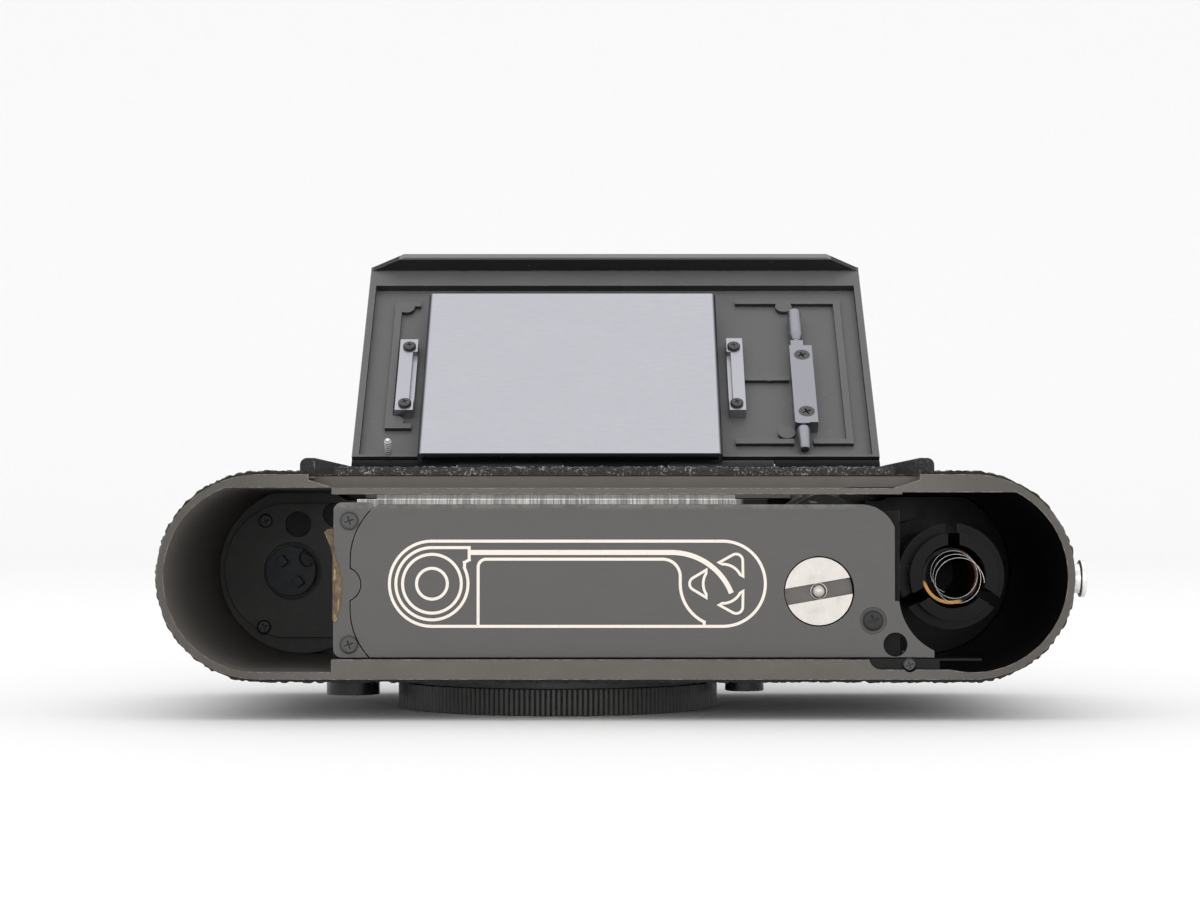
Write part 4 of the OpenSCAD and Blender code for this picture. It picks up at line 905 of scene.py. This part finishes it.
def body_cap():
    """A lathe round Z whose grip is cut into ribs, with four tabs; the profile is radius and Z."""
    grip = [(CAP_R, z) for z in (0.15, 0.4, 2.1, CAP_GRIP - 0.4, CAP_GRIP - 0.12)]
    throat_top = CAP_HIGH.z
    profile = [(0.02, 0.4), (10, 0.38), (20.4, 0.4), (20.9, 0.1), (21.2, 0.0), (25.2, 0.0), (25.55, 0.03)]
    profile += grip
    profile += [
        (25.55, CAP_GRIP), (25.05, CAP_GRIP + 0.02), (25.0, 5.3), (24.9, 5.4), (21.05, 5.42),
        (21.05, throat_top - 0.2), (20.85, throat_top), (19.6, throat_top), (19.4, throat_top - 0.2),
        (19.4, 2.3), (19.2, 2.2), (10, 2.21), (0.02, 2.2),
    ]
    columns = CAP_RIBS * 4
    verts = []
    for radius, z in profile:
        ribbed = (radius, z) in grip
        for step in range(columns):
            turn = 2 * math.pi * step / columns
            cut = CAP_CUT if ribbed and step % 4 == 3 else 0
            verts.append(((radius - cut) * math.cos(turn), (radius - cut) * math.sin(turn), z))
    faces = grid_faces(len(profile), columns, closed=True)
    for tab in range(4):
        faces += tab_faces(verts, math.radians(15 + 90 * tab), throat_top)
    piece_from("body_cap_ribbed", verts, faces, NODE_BODY["body_cap"], look_of("body_cap"),
               ("body_cap",), 30.0)


def tab_faces(verts, middle, top):
    """Adds one bayonet tab's vertices and returns its faces."""
    start = len(verts)
    section = ((21.0, top - 1.2), (22.2, top - 1.1), (22.2, top - 0.2), (21.0, top - 0.1))
    corners = len(section)
    for turn_deg in np.linspace(-TAB_TURN, TAB_TURN, TAB_STEPS):
        turn = middle + math.radians(turn_deg)
        for radius, z in section:
            verts.append((radius * math.cos(turn), radius * math.sin(turn), z))
    faces = grid_faces(TAB_STEPS, corners, closed=True)
    last = corners * (TAB_STEPS - 1)
    faces += [tuple(range(corners)), tuple(range(last, last + corners))]
    return [tuple(start + i for i in face) for face in faces]


body_cap()


# ---- Spring in the spool's mouth: a thin wire helix that leans a little ----

def tube_along(points, radius, sides=8):
    """Vertices and faces of a round wire along points."""
    verts, faces = [], []
    for i, point in enumerate(points):
        ahead = points[min(i + 1, len(points) - 1)] - points[max(i - 1, 0)]
        turned = ahead.to_track_quat("Z", "Y").to_matrix()
        for k in range(sides):
            turn = 2 * math.pi * k / sides
            verts.append(point + turned @ Vector((math.cos(turn), math.sin(turn), 0)) * radius)
    faces = grid_faces(len(points), sides, closed=True)
    faces.append(tuple(range(sides)))
    faces.append(tuple(range((len(points) - 1) * sides, len(points) * sides)))
    return verts, faces


def spool_spring():
    """A loose helix that narrows and leans back towards its far end."""
    turns, steps, wire_r = 2.7, 64, 0.05
    low, high = box_mm("spool_spring")
    points = []
    for i in range(int(turns * steps) + 1):
        share = i / (turns * steps)
        turn = 2 * math.pi * i / steps
        radius = 3.7 - 0.2 * share
        lean = Vector((0.55 - 0.2 * share, 0, -0.9 + 1.6 * share))
        spot = Vector((SPOOL.x, low.y + 0.3 + share * (high.y - low.y - 0.6), SPOOL.z)) + lean
        points.append(spot + Vector((math.cos(turn), 0, math.sin(turn))) * radius)
    verts, faces = tube_along(points, wire_r)
    piece_from("spool_spring_wire", verts, faces, NODE_BODY["spool_spring"], look_of("spool_spring"),
               ("spool_spring",), 60.0)


spool_spring()


# ---- Crackle coat on the light-trap rib, rough along its upper edge ----


def rib_crackle():
    """A rough skin up the rib's lower face, over its crest and down its upper face."""
    high_y = RIB_Y + RIB_T
    ring = [
        (RIB_Y, COAT_Z), (RIB_Y, COAT_Z + 0.5), (RIB_Y, RIB_Z - 0.4), (RIB_Y + 0.1, RIB_Z),
        (RIB_Y + 0.6, RIB_Z + 0.05), (high_y - 0.1, RIB_Z), (high_y, RIB_Z - 0.5), (high_y, COAT_Z),
    ]
    columns = spread(RIB_L, RIB_R, 0.3)
    verts = []
    for y, z in ring:
        side = -1 if y < RIB_Y + 0.5 else 1
        for x in columns:
            lump = noise.fractal(Vector((x, y * 1.5, z)) / 0.8, 0.8, 2.0, 3)
            tall = 0.28 * lump if z > RIB_Z - 0.6 else 0
            proud = 0.12 + 0.14 * lump
            verts.append((x, y + side * proud, z + tall))
    faces = grid_faces(len(ring), len(columns))
    piece_from("rib_crackle", verts, faces, "body", CRACKLE, (), 70.0)


rib_crackle()


# ---- Numbers and ticks on the dials ----

def number_mesh(label, size):
    """A flat mesh of a number, centred on its origin, with a thickness of 0.06 mm."""
    text = bpy.data.curves.new("number", "FONT")
    text.body = label
    text.size = size * MM
    text.align_x, text.align_y = "CENTER", "CENTER"
    text.extrude = 0.03 * MM
    holder = bpy.data.objects.new("number", text)
    bpy.context.scene.collection.objects.link(holder)
    graph = bpy.context.evaluated_depsgraph_get()
    mesh = bpy.data.meshes.new_from_object(holder.evaluated_get(graph), depsgraph=graph)
    bpy.data.objects.remove(holder)
    return mesh


def numbers_on(node, labels, normal, ring, size):
    """Raised numbers on a dial's face, at a share ring of its radius, each with a tick outside."""
    centre, face_r = face_of(node, normal)
    radius = face_r * ring
    shape = bmesh.new()
    side = Vector((1, 0, 0))
    across = normal.cross(side)
    for i, label in enumerate(labels):
        turn = 2 * math.pi * i / len(labels)
        outward = side * math.cos(turn) + across * math.sin(turn)
        right = outward.cross(normal)
        place = Matrix((right, outward, normal)).transposed().to_4x4()
        place.translation = (centre + outward * radius) * MM
        number = number_mesh(label, size)
        number.transform(place)
        shape.from_mesh(number)
        bpy.data.meshes.remove(number)
        tick = bmesh.ops.create_cube(shape, size=1.0)["verts"]
        bmesh.ops.scale(shape, vec=Vector((0.16, size * 0.4, 0.06)) * MM, verts=tick)
        bmesh.ops.translate(shape, vec=Vector((0, size * 0.85, 0)) * MM, verts=tick)
        bmesh.ops.transform(shape, matrix=place, verts=tick)
    mesh = bpy.data.meshes.new(node + "_numbers")
    shape.to_mesh(mesh)
    shape.free()
    dress(node + "_numbers", mesh, NODE_BODY[node], LOOKS["cream_fill"], (), 30.0)


def face_of(node, direction):
    """Middle of the face of a node that looks in a direction, and half the node's width."""
    low, high = box_mm(node)
    middle = middle_mm(node)
    return middle + direction * reach_of(node, direction, middle), (high.x - low.x) / 2


SHUTTER_TIMES = ["1", "2", "4", "8", "15", "30", "60", "125", "250", "500", "1000"]
FILM_SPEEDS = ["25", "50", "100", "200", "400", "800", "1600"]
FRAME_COUNTS = [str(count) for count in range(0, 40, 4)]
numbers_on("speed_dial", SHUTTER_TIMES, TOP, ring=0.66, size=1.5)
numbers_on("counter_disc", FRAME_COUNTS, TOP, ring=0.6, size=0.9)
numbers_on("film_speed_dial", FILM_SPEEDS, -DOOR_OUT, ring=0.62, size=2.2)


# ---- Scrap of golden foil at the cover's left end ----

# Lowest Z and length of the strip and of its flap
FOIL_Z, FOIL_LONG = 14.9, 11.4
FLAP_Z, FLAP_LONG = 24.2, 4.6
FOIL_COLUMNS, FLAP_COLUMNS = 5, 3


def foil_scrap():
    """A torn strip that bows off the edge of the cover, with a pointed flap above."""
    left, low = STRIP_LOW.x - 0.1, COVER_LOW.y
    rows = spread(0, 1, 1 / 34)
    verts, flap = [], []
    for share in rows:
        z = FOIL_Z + FOIL_LONG * share
        belly = math.sin(math.pi * min(1.0, share * 0.9 + 0.12))
        wide = 1.35 * belly + 0.3 * noise.noise(Vector((0, 0, z * 1.7)))
        for across in np.linspace(0, 1, FOIL_COLUMNS):
            bow = 0.5 + 0.5 * noise.noise(Vector((across, 3, z / 2)))
            lift = 0.12 + 0.25 * math.sin(math.pi * across) * bow
            verts.append((left + max(0.25, wide) * across, low - lift, z))
    for share in rows:
        z = FLAP_Z + FLAP_LONG * share
        point = share ** 1.5 * min(1.0, (1.12 - share) * 4)
        wide = 1.7 * point + 0.12 * noise.noise(Vector((7, 0, z * 2)))
        for across in np.linspace(0, 1, FLAP_COLUMNS):
            flap.append((left - max(0.05, wide) * across, low + 0.25 + 0.5 * across * share, z))
    faces = grid_faces(len(rows), FOIL_COLUMNS)
    faces += [tuple(i + len(verts) for i in face) for face in grid_faces(len(rows), FLAP_COLUMNS)]
    piece_from("foil_scrap", verts + flap, faces, "body", TAPE, (), 60.0)


foil_scrap()


# ---- Camera, light and floor ----

CAMERA_AT = (7.7, -435.5, 29.4)
CAMERA_PITCH = 1.61
CAMERA_YAW = 0.11
LENS_MM = 79.9
SENSOR_MM = 36.0
SKY_STRENGTH = 1.05


def add_camera():
    """The view onto the open underside; pitch and yaw are degrees up from level and off Y."""
    data = bpy.data.cameras.new("camera")
    data.lens = LENS_MM
    data.sensor_width = SENSOR_MM
    camera = bpy.data.objects.new("camera", data)
    camera.location = [c * MM for c in CAMERA_AT]
    camera.rotation_euler = (math.radians(90 + CAMERA_PITCH), 0, math.radians(CAMERA_YAW))
    bpy.context.scene.collection.objects.link(camera)
    bpy.context.scene.camera = camera


def add_area(name, place, size, power):
    """A soft light at a place in metres that shines at the origin."""
    data = bpy.data.lights.new(name, "AREA")
    data.shape = "RECTANGLE"
    data.size, data.size_y = size
    data.energy = power
    light = bpy.data.objects.new(name, data)
    light.location = place
    aim = -Vector(place)
    light.rotation_euler = aim.to_track_quat("-Z", "Y").to_euler()
    bpy.context.scene.collection.objects.link(light)


def add_stage():
    """A pale sheet that runs under the object and curves up behind it; its lengths are metres."""
    half, front, depth, radius, height = 3.0, -3.0, 1.6, 0.7, 2.6
    profile = [(front, 0.0)]
    profile += [
        (depth + radius * math.sin(a), radius - radius * math.cos(a))
        for a in np.linspace(0, math.pi / 2, 24)
    ]
    profile.append((depth + radius, height))
    verts = [(side * half, y, z) for side in (-1, 1) for y, z in profile]
    count = len(profile)
    faces = [(i, i + 1, count + i + 1, count + i) for i in range(count - 1)]
    mesh = bpy.data.meshes.new("sweep")
    mesh.from_pydata(verts, [], faces)
    for face in mesh.polygons:
        face.use_smooth = True
    look = Look("pale_paper")
    fibre = look.noise(3.0, 3.0)
    paper = look.mix(fibre, grey(0.9), grey(0.93))
    mesh.materials.append(look.done(Base_Color=paper, Roughness=look.step(fibre, 0, 1, 0.8, 0.9)))
    sweep = bpy.data.objects.new("sweep", mesh)
    bpy.context.scene.collection.objects.link(sweep)


def add_world():
    """Even white light from all round, shown without a film curve."""
    world = bpy.data.worlds.new("studio")
    world.use_nodes = True
    sky = world.node_tree.nodes["Background"]
    sky.inputs["Color"].default_value = (1, 1, 1, 1)
    sky.inputs["Strength"].default_value = SKY_STRENGTH
    bpy.context.scene.world = world
    bpy.context.scene.view_settings.view_transform = "Standard"


add_camera()
add_stage()
add_world()
add_area("top_softbox", place=(0.0, 0.1, 0.9), size=(1.2, 0.9), power=0.8)
add_area("front_fill", place=(0.1, -1.3, 0.24), size=(1.6, 0.5), power=2.6)
